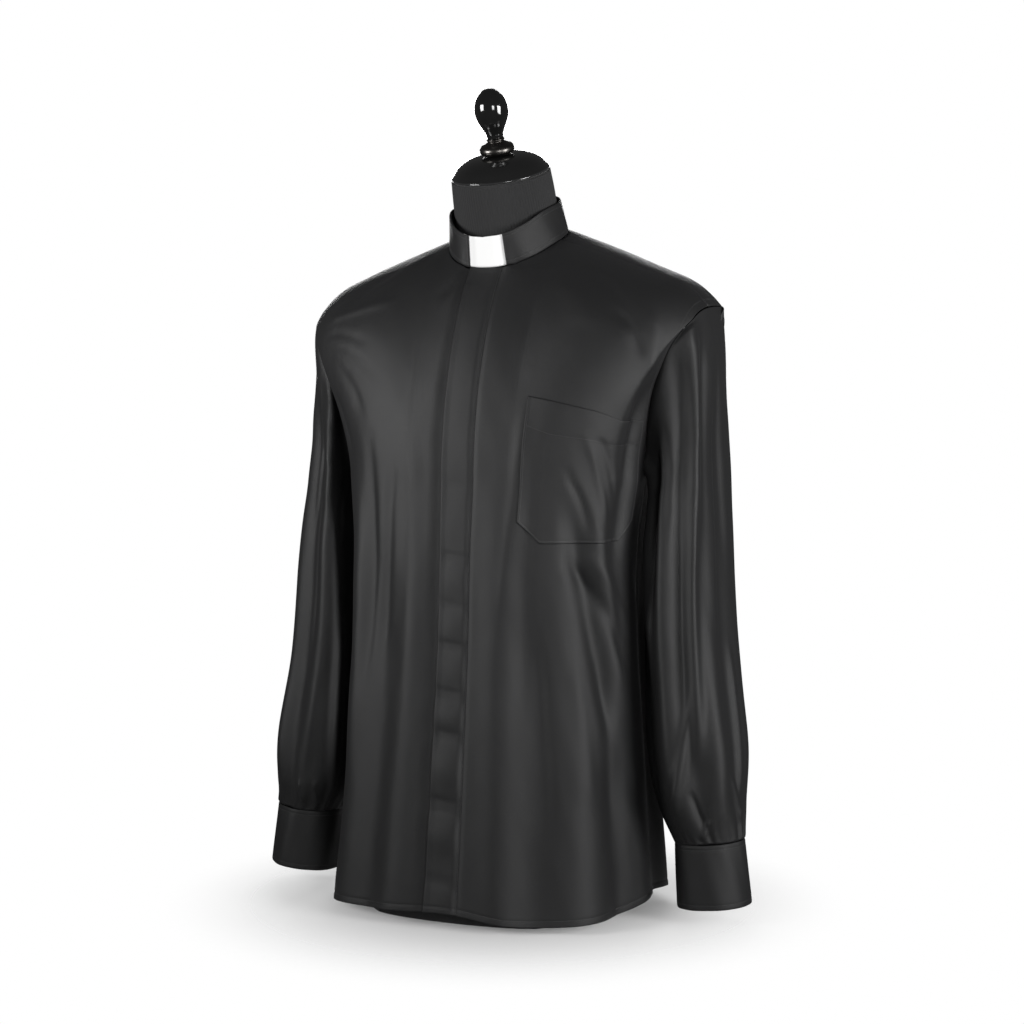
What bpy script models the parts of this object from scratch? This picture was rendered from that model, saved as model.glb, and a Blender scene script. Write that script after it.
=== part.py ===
"""Clergy shirt on a limbless dress form, in metres, +Z up.

The wearer's left is +X, the front faces -Y, and the form stands on z = 0.
A place on the body of the shirt has two coordinates. phi is the angle round the body in degrees:
0 at the centre front, 90 at the left side seam, 180 at the centre back, and negative on the right.
rise is -1 at the hem, 0 at underarm height and 1 along the ridge of the shoulders.
"""

import math

import bmesh
import bpy
import numpy as np

# Cloth and seams
CLOTH = 0.0012
COLLAR_CLOTH = 0.0019
TAB_CLOTH = 0.0010
SEAM_GAP = 0.0004
SIDE_SEAM_GAP = 0.0008
SEAM_HALF_GAP = 0.00035
SHOULDER_SEAM_GAP = 0.0028
LAYER_GAP = 0.0005
OVERLAP_DEPTH = 0.0027

# Body of the shirt, from the hem to underarm height
UNDERARM_Z = 0.475
SQUARENESS = 0.080
BODY_SECTIONS = {
    "height": (0.000, 0.100, 0.200, 0.310, 0.400, 0.475, 0.560),
    "half_width": (0.182, 0.174, 0.167, 0.162, 0.163, 0.172, 0.180),
    "front": (-0.168, -0.154, -0.142, -0.131, -0.126, -0.121, -0.118),
    "back": (0.146, 0.139, 0.130, 0.118, 0.113, 0.116, 0.116),
}
HEM_LINE = {
    "phi": (-180, -130, -90, -60, -30, -8, 0, 30, 60, 80, 90, 130, 180),
    "height": (0.006, 0.010, 0.017, 0.008, 0.012, 0.016, 0.017, 0.008, 0.011, 0.017, 0.022, 0.011, 0.006),
}

# Shoulders
TIP_X = 0.240
NECK_RIDGE = {"x": 0.067, "z": 0.7485}
SHOULDER_SLOPE = 0.432
RIDGE_ROUND = 0.045
ROUNDING_FROM_X = 0.195
ROUNDING = 8.4
RIDGE_Y = {"neck": 0.050, "tip": 0.054}
FRONT_SHAPE = {"centre": 1.85, "side": 2.75}
BACK_SHAPE = {"centre": 3.30, "side": 3.10}
SPREAD_POWER = 1.2
TIP_SHARE = 0.90
SHAPE_FROM = 0.26

# Neckline, seen from above, and the collar that stands on it
NECKLINE = {"half_width": 0.0685, "front_depth": 0.0675, "back_depth": 0.0485, "centre_y": 0.0205}
COLLAR_TOP = {"half_width": 0.0625, "half_depth": 0.0615, "centre_y": 0.0070}
COLLAR_TOP_LINE = {
    "angle": (0, 20, 45, 66, 114, 150, 180),
    "height": (0.738, 0.741, 0.753, 0.767, 0.784, 0.793, 0.796),
}
COLLAR_LIFT = 0.0007
TAB_HALF_WIDTH = 0.0205
TAB_CENTRE_X = 0.0015
TAB_TUCK = 0.009

# Seams
ARMHOLE_FRONT = 0.370
ARMHOLE_BACK = 0.350
ARMHOLE_TURN = 0.85
ARMHOLE_POWER = 0.80
YOKE_FRONT_RISE = 0.88
YOKE_BACK_RISE = {"centre": 0.40, "side": 0.50}
STRAIGHT_UNTIL_PHI = 20.0
PLACKET_EDGE_X = -0.0175
PLACKET_WIDTH = 0.037
OVERLAP_X = 0.017

# Rows and columns of the panels
ROWS_BELOW = 14
FRONT_ROWS_ABOVE = 10
BACK_ROWS_ABOVE = 6
FRONT_OUTER_PHI = (24.0, 30.5, 40.0, 50.5, 61.0, 70.5, 79.0, 85.0, 90.0)
BACK_COLUMN_PHI = (90.0, 96.0, 103.0, 111.0, 119.0, 127.0, 136.0, 145.0, 154.0, 163.0, 171.5, 180.0)
LEVEL_POWER = 0.91
POCKET = {"first_column": 9, "columns": 6, "rows": (12, 16)}

# Soft folds of the body: a ridge has a positive height and a valley a negative one
BODY_FOLDS = (
    # phi_top, z_top, phi_bottom, z_bottom, half_width, height
    (-66, 0.60, -66, 0.36, 0.016, -0.006),
    (66, 0.60, 68, 0.36, 0.016, -0.006),
    (-70, 0.50, -64, -0.12, 0.020, -0.007),
    (-62, 0.26, -60, -0.14, 0.034, -0.006),
    (-50, 0.52, -46, -0.14, 0.024, 0.006),
    (-31, 0.46, -30, -0.14, 0.020, -0.005),
    (-17, 0.44, -19, -0.14, 0.018, 0.004),
    (16, 0.52, 22, -0.14, 0.018, 0.005),
    (30, 0.40, 34, -0.14, 0.020, -0.005),
    (41, 0.47, 68, 0.17, 0.013, -0.007),
    (50, 0.48, 76, 0.20, 0.014, 0.006),
    (48, 0.26, 50, -0.14, 0.024, 0.006),
    (66, 0.22, 66, -0.14, 0.018, -0.005),
    (84, 0.44, 86, -0.14, 0.022, 0.006),
    (99, 0.42, 99, -0.14, 0.016, -0.004),
    (116, 0.52, 116, -0.14, 0.022, 0.006),
    (141, 0.54, 144, -0.14, 0.020, -0.007),
    (160, 0.50, 163, -0.14, 0.022, 0.006),
    (180, 0.56, 180, -0.14, 0.020, -0.006),
    (-160, 0.52, -161, -0.14, 0.022, 0.006),
    (-142, 0.55, -140, -0.14, 0.020, -0.007),
    (-122, 0.50, -120, -0.14, 0.022, 0.006),
    (-103, 0.46, -100, -0.14, 0.020, -0.006),
    (-86, 0.40, -84, -0.14, 0.022, 0.006),
)
FOLD_FADE = 0.28
MEAN_RADIUS = 0.160

# Left sleeve: the line at the body and the line away from it, at rings along the arm
SLEEVE_RINGS = {
    "inner_x": (0.178, 0.1805, 0.1795, 0.1765, 0.173, 0.170, 0.168, 0.171, 0.176, 0.187, 0.2087),
    "inner_z": (0.475, 0.4690, 0.461, 0.4500, 0.432, 0.400, 0.330, 0.260, 0.180, 0.125, 0.0830),
    "outer_x": (0.240, 0.2420, 0.2425, 0.2425, 0.2465, 0.252, 0.2585, 0.2675, 0.281, 0.2845, 0.2847),
    "outer_z": (0.650, 0.6220, 0.585, 0.5350, 0.472, 0.410, 0.330, 0.260, 0.180, 0.125, 0.0905),
    "centre_y": (0.034, 0.038, 0.041, 0.042, 0.037, 0.030, 0.024, 0.017, 0.006, 0.001, -0.002),
    "half_depth": (0.047, 0.054, 0.061, 0.066, 0.068, 0.068, 0.065, 0.060, 0.054, 0.049, 0.0365),
}
ARMHOLE_BLEND_RINGS = 3.5
SLEEVE_ROWS = 24
SLEEVE_FOLDS = (
    # turn_top, ring_top, turn_bottom, ring_bottom, half_width (degrees), height
    (68, 0.5, 74, 11.0, 15, 0.0050),
    (41, 1.0, 46, 9.6, 13, -0.0060),
    (14, 1.5, 16, 10.5, 14, 0.0040),
    (96, 1.0, 104, 9.0, 13, -0.0055),
    (135, 2.5, 138, 10.0, 18, 0.0030),
    (-22, 2.0, -18, 9.0, 14, -0.0045),
    (-55, 1.5, -58, 9.8, 18, 0.0045),
    (-92, 1.5, -88, 9.0, 15, -0.0050),
    (-128, 2.0, -125, 10.5, 17, 0.0040),
)

# Cuffs: a band that overlaps at the back of the wrist
CUFF = {
    "centre_x": (0.2467, 0.2527),
    "centre_y": (-0.002, -0.004),
    "height": (0.0855, 0.0160),
    "half_width": (0.0380, 0.0410),
    "half_depth": (0.0365, 0.0385),
}
CUFF_CLOTH = 0.0016
CUFF_ROWS = 4
CUFF_COLUMNS = 24
CUFF_OPENING = -82.0
CUFF_OVERLAP = 26.0
SLEEVE_PLACKET = {"turn": -84.0, "columns": 2, "rows": 5}
BUTTON = {"radius": 0.0055, "thickness": 0.0022}

# Dress form
FORM_REACH = 0.75
FORM_INSET = {
    "rise": (-1.0, -0.6, -0.3, 0.0, 0.25, 0.50, 0.80, 0.88, 1.0),
    "front": (0.030, 0.034, 0.036, 0.030, 0.024, 0.016, 0.0052, 0.0040, 0.0040),
    "back": (0.028, 0.030, 0.028, 0.020, 0.010, 0.0048, 0.0038, 0.0038, 0.0040),
}
FORM_SIDE_INSET = {"rise": (-1.0, -0.5, 0.0, 0.5, 1.0), "inset": (0.010, 0.018, 0.006, 0.0, 0.0)}
NECK_LEAN = math.radians(20.5)
NECK_TOP = {"y": -0.0050, "z": 0.8114}
NECK_RINGS = {
    "down": (0.0, 0.020, 0.045, 0.075, 0.110, 0.150),
    "half_width": (0.0540, 0.0556, 0.0570, 0.0572, 0.0564, 0.0522),
    "half_depth": (0.0532, 0.0536, 0.0523, 0.0484, 0.0442, 0.0400),
    "forward": (0.0000, 0.0000, 0.0010, 0.0040, 0.0080, 0.0120),
}
CAP_PROFILE = (
    # radius, height above the neck
    (0.0120, 0.0215), (0.0240, 0.0206), (0.0330, 0.0186), (0.0410, 0.0152),
    (0.0480, 0.0104), (0.0528, 0.0052), (0.0552, 0.0020), (0.0546, 0.0004),
)
FINIAL_PROFILE = (
    # radius, height above the cap
    (0.0000, 0.0735), (0.0060, 0.0721), (0.0104, 0.0688), (0.0144, 0.0645), (0.0170, 0.0598),
    (0.0185, 0.0542), (0.0189, 0.0474), (0.0175, 0.0400), (0.0147, 0.0335), (0.0116, 0.0275),
    (0.0096, 0.0228), (0.0088, 0.0186), (0.0100, 0.0174), (0.0098, 0.0160), (0.0094, 0.0152),
    (0.0108, 0.0140), (0.0172, 0.0108), (0.0190, 0.0087), (0.0196, 0.0060), (0.0188, 0.0034),
    (0.0165, 0.0014), (0.0120, 0.0004),
)
TURNED_STEPS = 22


def smooth(xs, ys, x):
    """Smooth curve through the rows of a table: a cubic Hermite spline with averaged slopes."""
    xs, ys, x = np.asarray(xs, float), np.asarray(ys, float), np.asarray(x, float)
    steps = np.diff(ys) / np.diff(xs)
    inner = np.where(steps[:-1] * steps[1:] > 0, (steps[:-1] + steps[1:]) / 2, 0.0)
    slopes = np.concatenate([steps[:1], inner, steps[-1:]])
    x = np.clip(x, xs[0], xs[-1])
    i = np.clip(np.searchsorted(xs, x, side="right") - 1, 0, len(xs) - 2)
    width = xs[i + 1] - xs[i]
    t = (x - xs[i]) / width
    return (
        ys[i] * (2 * t**3 - 3 * t**2 + 1)
        + slopes[i] * width * (t**3 - 2 * t**2 + t)
        + ys[i + 1] * (3 * t**2 - 2 * t**3)
        + slopes[i + 1] * width * (t**3 - t**2)
    )


def fade(t):
    """0 below 0, 1 above 1, and a smooth step between."""
    t = np.clip(t, 0.0, 1.0)
    return t * t * (3 - 2 * t)


def ring_shares(phi):
    """Share of the half width and of the half depth that the ring reaches at phi."""
    a = np.radians(phi)
    fuller = 1 + SQUARENESS * np.sin(2 * a) ** 2
    return np.sin(a) * fuller, np.cos(a) * fuller


def ring_depth(share, z):
    """y of the ring at height z, where share runs from 1 at the front to -1 at the back."""
    front = smooth(BODY_SECTIONS["height"], BODY_SECTIONS["front"], z)
    back = smooth(BODY_SECTIONS["height"], BODY_SECTIONS["back"], z)
    side = (front + back) / 2
    return np.where(share > 0, side + (front - side) * share, side - (back - side) * share)


def ridge(x):
    """y and z of the shoulders' ridge at a distance x from the middle."""
    x = np.abs(x)
    round_off = np.hypot(x, RIDGE_ROUND) - math.hypot(NECK_RIDGE["x"], RIDGE_ROUND)
    z = NECK_RIDGE["z"] - SHOULDER_SLOPE * round_off
    z = z - ROUNDING * np.maximum(x - ROUNDING_FROM_X, 0) ** 2
    y = RIDGE_Y["neck"] + (RIDGE_Y["tip"] - RIDGE_Y["neck"]) * x / TIP_X
    return y, z


def hem_height(phi):
    return smooth(HEM_LINE["phi"], HEM_LINE["height"], (phi + 180) % 360 - 180)


def shoulder_shape(wide, front):
    """Exponent of the arch from the chest or the back to the ridge."""
    share = fade((wide - SHAPE_FROM) / (TIP_SHARE - SHAPE_FROM))
    f = FRONT_SHAPE["centre"] + (FRONT_SHAPE["side"] - FRONT_SHAPE["centre"]) * share
    b = BACK_SHAPE["centre"] + (BACK_SHAPE["side"] - BACK_SHAPE["centre"]) * share
    return np.where(front, f, b)


def shoulder_spread(wide):
    """How far a column moves out on its way from underarm height to the ridge."""
    under = float(smooth(BODY_SECTIONS["height"], BODY_SECTIONS["half_width"], UNDERARM_Z))
    return (TIP_X - under * wide) * np.minimum(wide / TIP_SHARE, 1) ** 3


def bare_body(phi, rise, floor=None):
    """Points of the body's outer surface without folds. Below the arms it is a stack of rings,
    and above them each column arches over to the ridge along a superellipse."""
    phi, rise = np.broadcast_arrays(np.asarray(phi, float), np.asarray(rise, float))
    wide, deep = ring_shares(phi)
    hem = hem_height(phi) if floor is None else floor
    z_low = hem + (UNDERARM_Z - hem) * (1 + np.minimum(rise, 0))
    half = smooth(BODY_SECTIONS["height"], BODY_SECTIONS["half_width"], z_low)
    under = smooth(BODY_SECTIONS["height"], BODY_SECTIONS["half_width"], UNDERARM_Z)
    up = np.clip(rise, 0, 1)
    spread = np.sign(wide) * shoulder_spread(np.abs(wide))
    x = half * wide + spread * np.sin(up * math.pi / 2) ** SPREAD_POWER
    y0 = ring_depth(deep, z_low)
    y_ridge, z_ridge = ridge(under * wide + spread)
    power = 2 / shoulder_shape(np.abs(wide), deep > 0)
    turn = up * math.pi / 2
    z = z_low + (z_ridge - z_low) * np.sin(turn) ** power
    y = y_ridge + (y0 - y_ridge) * np.maximum(np.cos(turn), 0) ** power
    return np.stack([x, np.where(up > 0, y, y0), np.where(up > 0, z, z_low)], axis=-1)


def unit(v):
    return v / np.maximum(np.linalg.norm(v, axis=-1, keepdims=True), 1e-12)


def body_normal(phi, rise, floor=None):
    """Outward direction: the cross product of the steps round and up the bare surface."""
    low, high = np.clip(rise - 0.012, -1, 0.985), np.clip(rise + 0.012, -0.985, 0.999)
    around = bare_body(phi + 0.6, np.clip(rise, -1, 0.985), floor) - bare_body(
        phi - 0.6, np.clip(rise, -1, 0.985), floor
    )
    upward = bare_body(phi, high, floor) - bare_body(phi, low, floor)
    return unit(np.cross(around, upward))


def fold_height(phi, z):
    """Sum of the folds at a place: across each one a bell curve, along it a fade at both ends."""
    total = np.zeros(np.broadcast(phi, z).shape)
    for phi_top, z_top, phi_bottom, z_bottom, half_width, height in BODY_FOLDS:
        t = (z_top - z) / (z_top - z_bottom)
        middle = phi_top + (phi_bottom - phi_top) * np.clip(t, 0, 1)
        off = (phi - middle + 180) % 360 - 180
        across = np.exp(-((np.radians(off) * MEAN_RADIUS / half_width) ** 2))
        total += height * across * fade(t / FOLD_FADE) * fade((1 - t) / FOLD_FADE)
    return total


def body(phi, rise, out=0.0):
    """Points of the body's outer surface with its folds, moved out by a distance."""
    phi, rise = np.broadcast_arrays(np.asarray(phi, float), np.asarray(rise, float))
    points = bare_body(phi, rise)
    lift = fold_height(phi, points[..., 2]) + out
    return points + body_normal(phi, rise) * lift[..., None]


def armhole_phi(rise, back=False):
    """phi of the armhole seam at a rise from 0 at the underarm to 1 at the ridge."""
    turn = np.clip(np.clip(rise, 0, 1) / ARMHOLE_TURN, 0, 1) * math.pi / 2
    cut = np.sin(turn) ** ARMHOLE_POWER
    share = 1 - (ARMHOLE_BACK if back else ARMHOLE_FRONT) * cut
    return 180 - 90 * share if back else 90 * share


def seam_step(phi, rise):
    """The change of rise that moves a point along its column by half of a seam's gap."""
    ahead = body(np.array(phi), np.array(rise + 0.004)) - body(np.array(phi), np.array(rise - 0.004))
    return SEAM_HALF_GAP / float(np.linalg.norm(ahead)) * 0.008


def towards_armhole(phi, rise, back=False):
    """Bends the columns near the side, which end on the armhole above the underarm."""
    from_middle = 180 - np.abs(phi) if back else np.abs(phi)
    narrow = 90 - np.abs(armhole_phi(rise) if not back else 180 - armhole_phi(rise, True))
    narrow = np.where(rise > 0, narrow, 0)
    room = 90 - STRAIGHT_UNTIL_PHI
    power = np.clip(0.75 * room / np.maximum(narrow, 1), 1.5, 6)
    near = np.maximum((from_middle - STRAIGHT_UNTIL_PHI) / room, 0) ** power
    bent = from_middle - narrow * near
    return np.sign(phi) * (180 - bent if back else bent)


def place_of(x, y):
    """phi and rise of the place on the bare surface above a point of the plan, and whether it is in front."""
    under = float(smooth(BODY_SECTIONS["height"], BODY_SECTIONS["half_width"], UNDERARM_Z))
    angles = np.linspace(0, 90, 400)
    shares = ring_shares(angles)[0]
    front = y < ridge(x)[0]
    rise = 0.8
    for _ in range(40):
        out = under * shares + shoulder_spread(shares) * math.sin(rise * math.pi / 2) ** SPREAD_POWER
        phi = float(np.interp(abs(x), out, angles))
        wide, deep = ring_shares(phi)
        deep = deep * (1 if front else -1)
        y0 = float(ring_depth(deep, UNDERARM_Z))
        y_ridge = ridge(under * wide + shoulder_spread(wide))[0]
        share = np.clip((y - y_ridge) / (y0 - y_ridge), 0, 1)
        power = 2 / float(shoulder_shape(wide, front))
        rise = 0.5 * rise + 0.5 * float(np.arccos(share ** (1 / power)) / (math.pi / 2))
    phi = phi if front else 180 - phi
    return math.copysign(phi, x) if x else phi, rise


def neckline_plan(angle):
    a = math.radians(angle)
    depth = NECKLINE["front_depth"] if math.cos(a) > 0 else NECKLINE["back_depth"]
    return NECKLINE["half_width"] * math.sin(a), NECKLINE["centre_y"] - depth * math.cos(a)


def neckline_place(angle):
    """phi and rise of the neckline at an angle round the neck, 0 in front and 180 behind."""
    return place_of(*neckline_plan(angle))


def yoke_corner_angle():
    """Angle round the neck at which the neckline meets the yoke's front seam."""
    low, high = 30.0, 100.0
    for _ in range(30):
        middle = (low + high) / 2
        phi, rise = neckline_place(middle)
        if abs(phi) < 90 and rise < YOKE_FRONT_RISE:
            low = middle
        else:
            high = middle
    return low


def material(name, colour, roughness, metallic=0.0):
    m = bpy.data.materials.get(name) or bpy.data.materials.new(name)
    m.use_nodes = True
    bsdf = m.node_tree.nodes["Principled BSDF"]
    bsdf.inputs["Base Color"].default_value = (*colour, 1)
    bsdf.inputs["Roughness"].default_value = roughness
    bsdf.inputs["Metallic"].default_value = metallic
    m.diffuse_color = (*colour, 1)
    return m


def link(obj, mat):
    COLLECTION.objects.link(obj)
    obj.data.materials.append(mat)
    return obj


DOWN_RIGHT = ((0, 1, 2), (0, 2, 3))
UP_RIGHT = ((1, 2, 3), (0, 1, 3))


def surface(name, points, mat, thickness, closed=False, cells=None, outward=None):
    """A grid of points as an open sheet, given its wall by Solidify on the inner side. Each cell is
    two triangles, so that a piece that lies on another is split along the same lines as it is."""
    rows, columns = points.shape[:2]
    mesh = bpy.data.meshes.new(name)
    bm = bmesh.new()
    verts = [[bm.verts.new(points[i, j]) for j in range(columns)] for i in range(rows)]
    for i in range(rows - 1):
        for j in range(columns if closed else columns - 1):
            k = (j + 1) % columns
            cell = [verts[i][j], verts[i][k], verts[i + 1][k], verts[i + 1][j]]
            halves = cells(i, j) if cells else DOWN_RIGHT
            for corners in halves:
                bm.faces.new([cell[c] for c in corners])
    bmesh.ops.delete(bm, geom=[v for v in bm.verts if not v.link_faces], context="VERTS")
    bm.normal_update()
    ways = sum(f.normal.dot(f.calc_center_median() - outward(f.calc_center_median())) for f in bm.faces)
    if ways < 0:
        bmesh.ops.reverse_faces(bm, faces=bm.faces)
    bm.to_mesh(mesh)
    bm.free()
    mesh.shade_smooth()
    obj = link(bpy.data.objects.new(name, mesh), mat)
    wall = obj.modifiers.new("Wall", "SOLIDIFY")
    wall.thickness = thickness
    wall.offset = -1
    wall.use_even_offset = False
    return obj


def body_middle(p):
    """A point inside the body level with p, or well below it near the shoulders."""
    return type(p)((p.x * 0.5, -0.01, min(p.z, 0.60)))


def front_columns():
    """phi at underarm height and rise at the top, for a front's columns from the neckline to the side seam."""
    columns = [neckline_place(angle) for angle in np.linspace(22, yoke_corner_angle(), 6)]
    return columns + [(phi, YOKE_FRONT_RISE) for phi in FRONT_OUTER_PHI]


def rises_of(top, rows_above):
    """Rises of a column's rows, from the hem to the underarm and on to its top."""
    below = np.linspace(-1, 0, ROWS_BELOW + 1)
    return np.concatenate([below, top * np.arange(1, rows_above + 1) / rows_above])


def level_rises(phi, top):
    """Rises of a front column's rows above the underarm, so that each row lies level on the chest."""
    shape = float(shoulder_shape(abs(float(ring_shares(phi)[0])), True))
    share = np.sin(math.pi / 2 * np.arange(1, FRONT_ROWS_ABOVE + 1) / FRONT_ROWS_ABOVE) ** LEVEL_POWER
    height = share * math.sin(math.pi / 2 * top) ** (2 / shape)
    return np.arcsin(np.minimum(height ** (shape / 2), 1)) / (math.pi / 2)


def plan_column(x):
    """The neckline's place at a small x near the centre front."""
    angle = math.degrees(math.asin(x / NECKLINE["half_width"]))
    return neckline_place(angle)


def front_places(edge_columns):
    """phi and rise of each point of a left-hand front, from the given columns at its edge to the side seam."""
    columns = edge_columns + front_columns()
    half_gap = SIDE_SEAM_GAP / 2 / MEAN_RADIUS
    phis, rises = [], []
    for phi, top in columns:
        at_top = float(towards_armhole(np.array(phi), np.array(top)))
        below = np.linspace(-1, 0, ROWS_BELOW + 1)
        rise = np.concatenate([below, level_rises(phi, top - seam_step(at_top, top))])
        bent = towards_armhole(np.full(rise.shape, phi), rise)
        if phi == FRONT_OUTER_PHI[-1]:
            bent = bent - math.degrees(half_gap)
        phis.append(bent)
        rises.append(rise)
    return np.array(phis).T, np.array(rises).T


def make_front_left(cloth):
    edge = [plan_column(x) for x in (PLACKET_EDGE_X + 0.0008, 0.0, PLACKET_EDGE_X + PLACKET_WIDTH)]
    phi, rise = front_places(edge)
    corner = (POCKET["rows"][0], POCKET["first_column"])
    cells = lambda i, j: UP_RIGHT if (i, j) == corner else DOWN_RIGHT
    surface("front_left", body(phi, rise), cloth, CLOTH, cells=cells, outward=body_middle)
    return phi, rise


def make_front_right(cloth):
    edge = [plan_column(x) for x in (-OVERLAP_X, 0.0, -PLACKET_EDGE_X + 0.003)]
    phi, rise = front_places(edge)
    x = bare_body(phi, rise)[..., 0]
    under = 1 - fade((x - (-PLACKET_EDGE_X)) / 0.016)
    points = body(-phi, rise, -OVERLAP_DEPTH * under)
    surface("front_right", points, cloth, CLOTH, outward=body_middle)


def make_placket(cloth, phi, rise):
    """The band that covers the buttons, on the first columns of the left front."""
    top_row_down = rise[:, :3].copy()
    top_row_down[-1] -= 0.004
    points = body(phi[:, :3] - np.array([0.35, 0, 0]), top_row_down, CLOTH + LAYER_GAP)
    surface("placket", points, cloth, CLOTH, outward=body_middle)


def make_pocket(cloth, phi, rise):
    """The chest pocket, on cells of the left front, with its two lower corners cut off."""
    first = POCKET["first_column"]
    columns = slice(first, first + POCKET["columns"])
    bottom, top = POCKET["rows"]
    rows = slice(bottom, top + 1)
    points = body(phi[rows, columns], rise[rows, columns], CLOTH + LAYER_GAP)
    last = POCKET["columns"] - 2

    def cells(i, j):
        if i == 0 and j == 0:
            return UP_RIGHT[:1]
        if i == 0 and j == last:
            return DOWN_RIGHT[1:]
        return DOWN_RIGHT

    surface("pocket", points, cloth, CLOTH, cells=cells, outward=body_middle)


def yoke_back_rise(phi):
    share = fade(np.clip((180 - np.abs(phi)) / 75, 0, 1))
    return YOKE_BACK_RISE["centre"] + (YOKE_BACK_RISE["side"] - YOKE_BACK_RISE["centre"]) * share


def make_back(cloth):
    """The back, from one side seam to the other and up to the yoke."""
    phis, rises = [], []
    for phi in BACK_COLUMN_PHI:
        side = phi == BACK_COLUMN_PHI[0]
        top = float(yoke_back_rise(armhole_phi(YOKE_BACK_RISE["side"], True) if side else phi))
        at_top = float(towards_armhole(np.array(phi), np.array(top), back=True))
        rise = rises_of(top - seam_step(at_top, top), BACK_ROWS_ABOVE)
        bent = towards_armhole(np.full(rise.shape, phi), rise, back=True)
        phis.append(bent + (math.degrees(SIDE_SEAM_GAP / 2 / MEAN_RADIUS) if side else 0))
        rises.append(rise)
    phi, rise = np.array(phis).T, np.array(rises).T
    points = body(phi, rise)
    right = body(-phi[:, -2::-1], rise[:, -2::-1])
    surface("back", np.concatenate([points, right], axis=1), cloth, CLOTH, outward=body_middle)


def armhole_places():
    """The armhole's points, once round from the ridge: down the front, under the arm and up the back.
    They are those of the panels that meet there. Each is phi and rise."""
    front = np.concatenate([level_rises(90.0, YOKE_FRONT_RISE)[::-1], [0.0]])
    top = float(yoke_back_rise(armhole_phi(YOKE_BACK_RISE["side"], True)))
    back = top * np.arange(1, BACK_ROWS_ABOVE + 1) / BACK_ROWS_ABOVE
    over = yoke_armhole_rises()
    places = [(float(armhole_phi(r)), r) for r in front]
    places += [(float(armhole_phi(r, True)), r) for r in back]
    places += [(float(armhole_phi(r, True)), r) for r in over["back"][::-1]]
    places += [(float(armhole_phi(1.0)), 1.0)]
    places += [(float(armhole_phi(r)), r) for r in over["front"]]
    start = len(places) - 1 - len(over["front"])
    return places[start:] + places[:start]


def yoke_armhole_rises():
    """Rises at which the yoke's lines reach the armhole, apart from its corners and the ridge."""
    top = float(yoke_back_rise(armhole_phi(YOKE_BACK_RISE["side"], True)))
    return {
        "front": [1 - (1 - YOKE_FRONT_RISE) * 0.5],
        "back": [1 - (1 - top) * s for s in (0.2, 0.4, 0.6, 0.8)],
    }


def over_ridge(phi, rise):
    """The signed way from the ridge: below 0 in front and above 0 behind."""
    return (1 - rise) if abs(phi) > 90 else -(1 - rise)


def back_seam_places():
    """phi and rise of the yoke's back seam at the columns of the back, from the armhole to the middle."""
    side = float(armhole_phi(YOKE_BACK_RISE["side"], True))
    places = [(side, float(yoke_back_rise(side)))]
    for phi in BACK_COLUMN_PHI[1:]:
        rise = float(yoke_back_rise(phi))
        places.append((float(towards_armhole(np.array(phi), np.array(rise), back=True)), rise))
    return places


def make_yoke(cloth):
    """The yoke: lines that fan out from the neckline to the armholes and the back seam. The first
    line runs beside the top row of a front, point for point."""
    corner = yoke_corner_angle()
    over = yoke_armhole_rises()
    seam_places = back_seam_places()
    front_end = float(armhole_phi(YOKE_FRONT_RISE))
    ends = [(front_end, YOKE_FRONT_RISE + seam_step(front_end, YOKE_FRONT_RISE))]
    ends += [(float(armhole_phi(r)), r) for r in over["front"]]
    ends += [(float(armhole_phi(1.0)), 1.0)]
    ends += [(float(armhole_phi(r, True)), r) for r in over["back"]]
    ends += [(phi, rise + seam_step(phi, rise)) for phi, rise in seam_places]
    at_armhole = len(ends) - len(seam_places)
    angles = np.linspace(corner, 180, len(ends))
    half_gap = math.degrees(SEAM_GAP / 2 / MEAN_RADIUS)
    first_phi = neckline_place(corner)[0]
    front_phi = [float(towards_armhole(np.array(p), np.array(YOKE_FRONT_RISE))) for p in FRONT_OUTER_PHI]
    shares = (np.array([first_phi] + front_phi) - first_phi) / (front_phi[-1] - first_phi)
    even = np.linspace(0, 1, len(shares))
    lines = []
    for n, (angle, (phi_end, rise_end)) in enumerate(zip(angles, ends)):
        phi_start, rise_start = neckline_place(angle)
        if n == 0:
            rise_start = YOKE_FRONT_RISE + seam_step(phi_start, YOKE_FRONT_RISE)
        start = over_ridge(phi_start, rise_start)
        end = over_ridge(phi_end, rise_end)
        fold_start = 180 - phi_start if phi_start > 90 else phi_start
        fold_end = 180 - phi_end if phi_end > 90 else phi_end
        if n <= at_armhole:
            fold_end -= half_gap
        t = shares + (even - shares) * min(n / 5, 1)
        across = fold_start + (fold_end - fold_start) * t
        way = start + (end - start) * t
        if n == 0:
            way = np.array([-(1 - YOKE_FRONT_RISE - seam_step(p, YOKE_FRONT_RISE)) for p in across])
        phi = np.where(way > 0, 180 - across, across)
        lines.append(body(phi, 1 - np.abs(way)))
    left = np.array(lines)
    right = left[-2::-1] * np.array([-1, 1, 1])
    points = np.concatenate([left, right])
    surface("yoke", points, cloth, CLOTH, outward=lambda p: type(p)((p.x * 0.9, p.y * 0.3, 0.5)))


def collar_ring(angle, up):
    """A point of the collar's outer face: up is 0 on the neckline and 1 at the top edge."""
    phi, rise = neckline_place(angle)
    foot = body(phi, rise) + np.array([0, 0, COLLAR_LIFT])
    a = math.radians(angle)
    head = np.array(
        [
            COLLAR_TOP["half_width"] * math.sin(a),
            COLLAR_TOP["centre_y"] - COLLAR_TOP["half_depth"] * math.cos(a),
            float(smooth(COLLAR_TOP_LINE["angle"], COLLAR_TOP_LINE["height"], abs(angle))),
        ]
    )
    return foot + (head - foot) * up


def collar_out(angle):
    a = math.radians(angle)
    return np.array([math.sin(a), -math.cos(a), 0.0])


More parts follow.
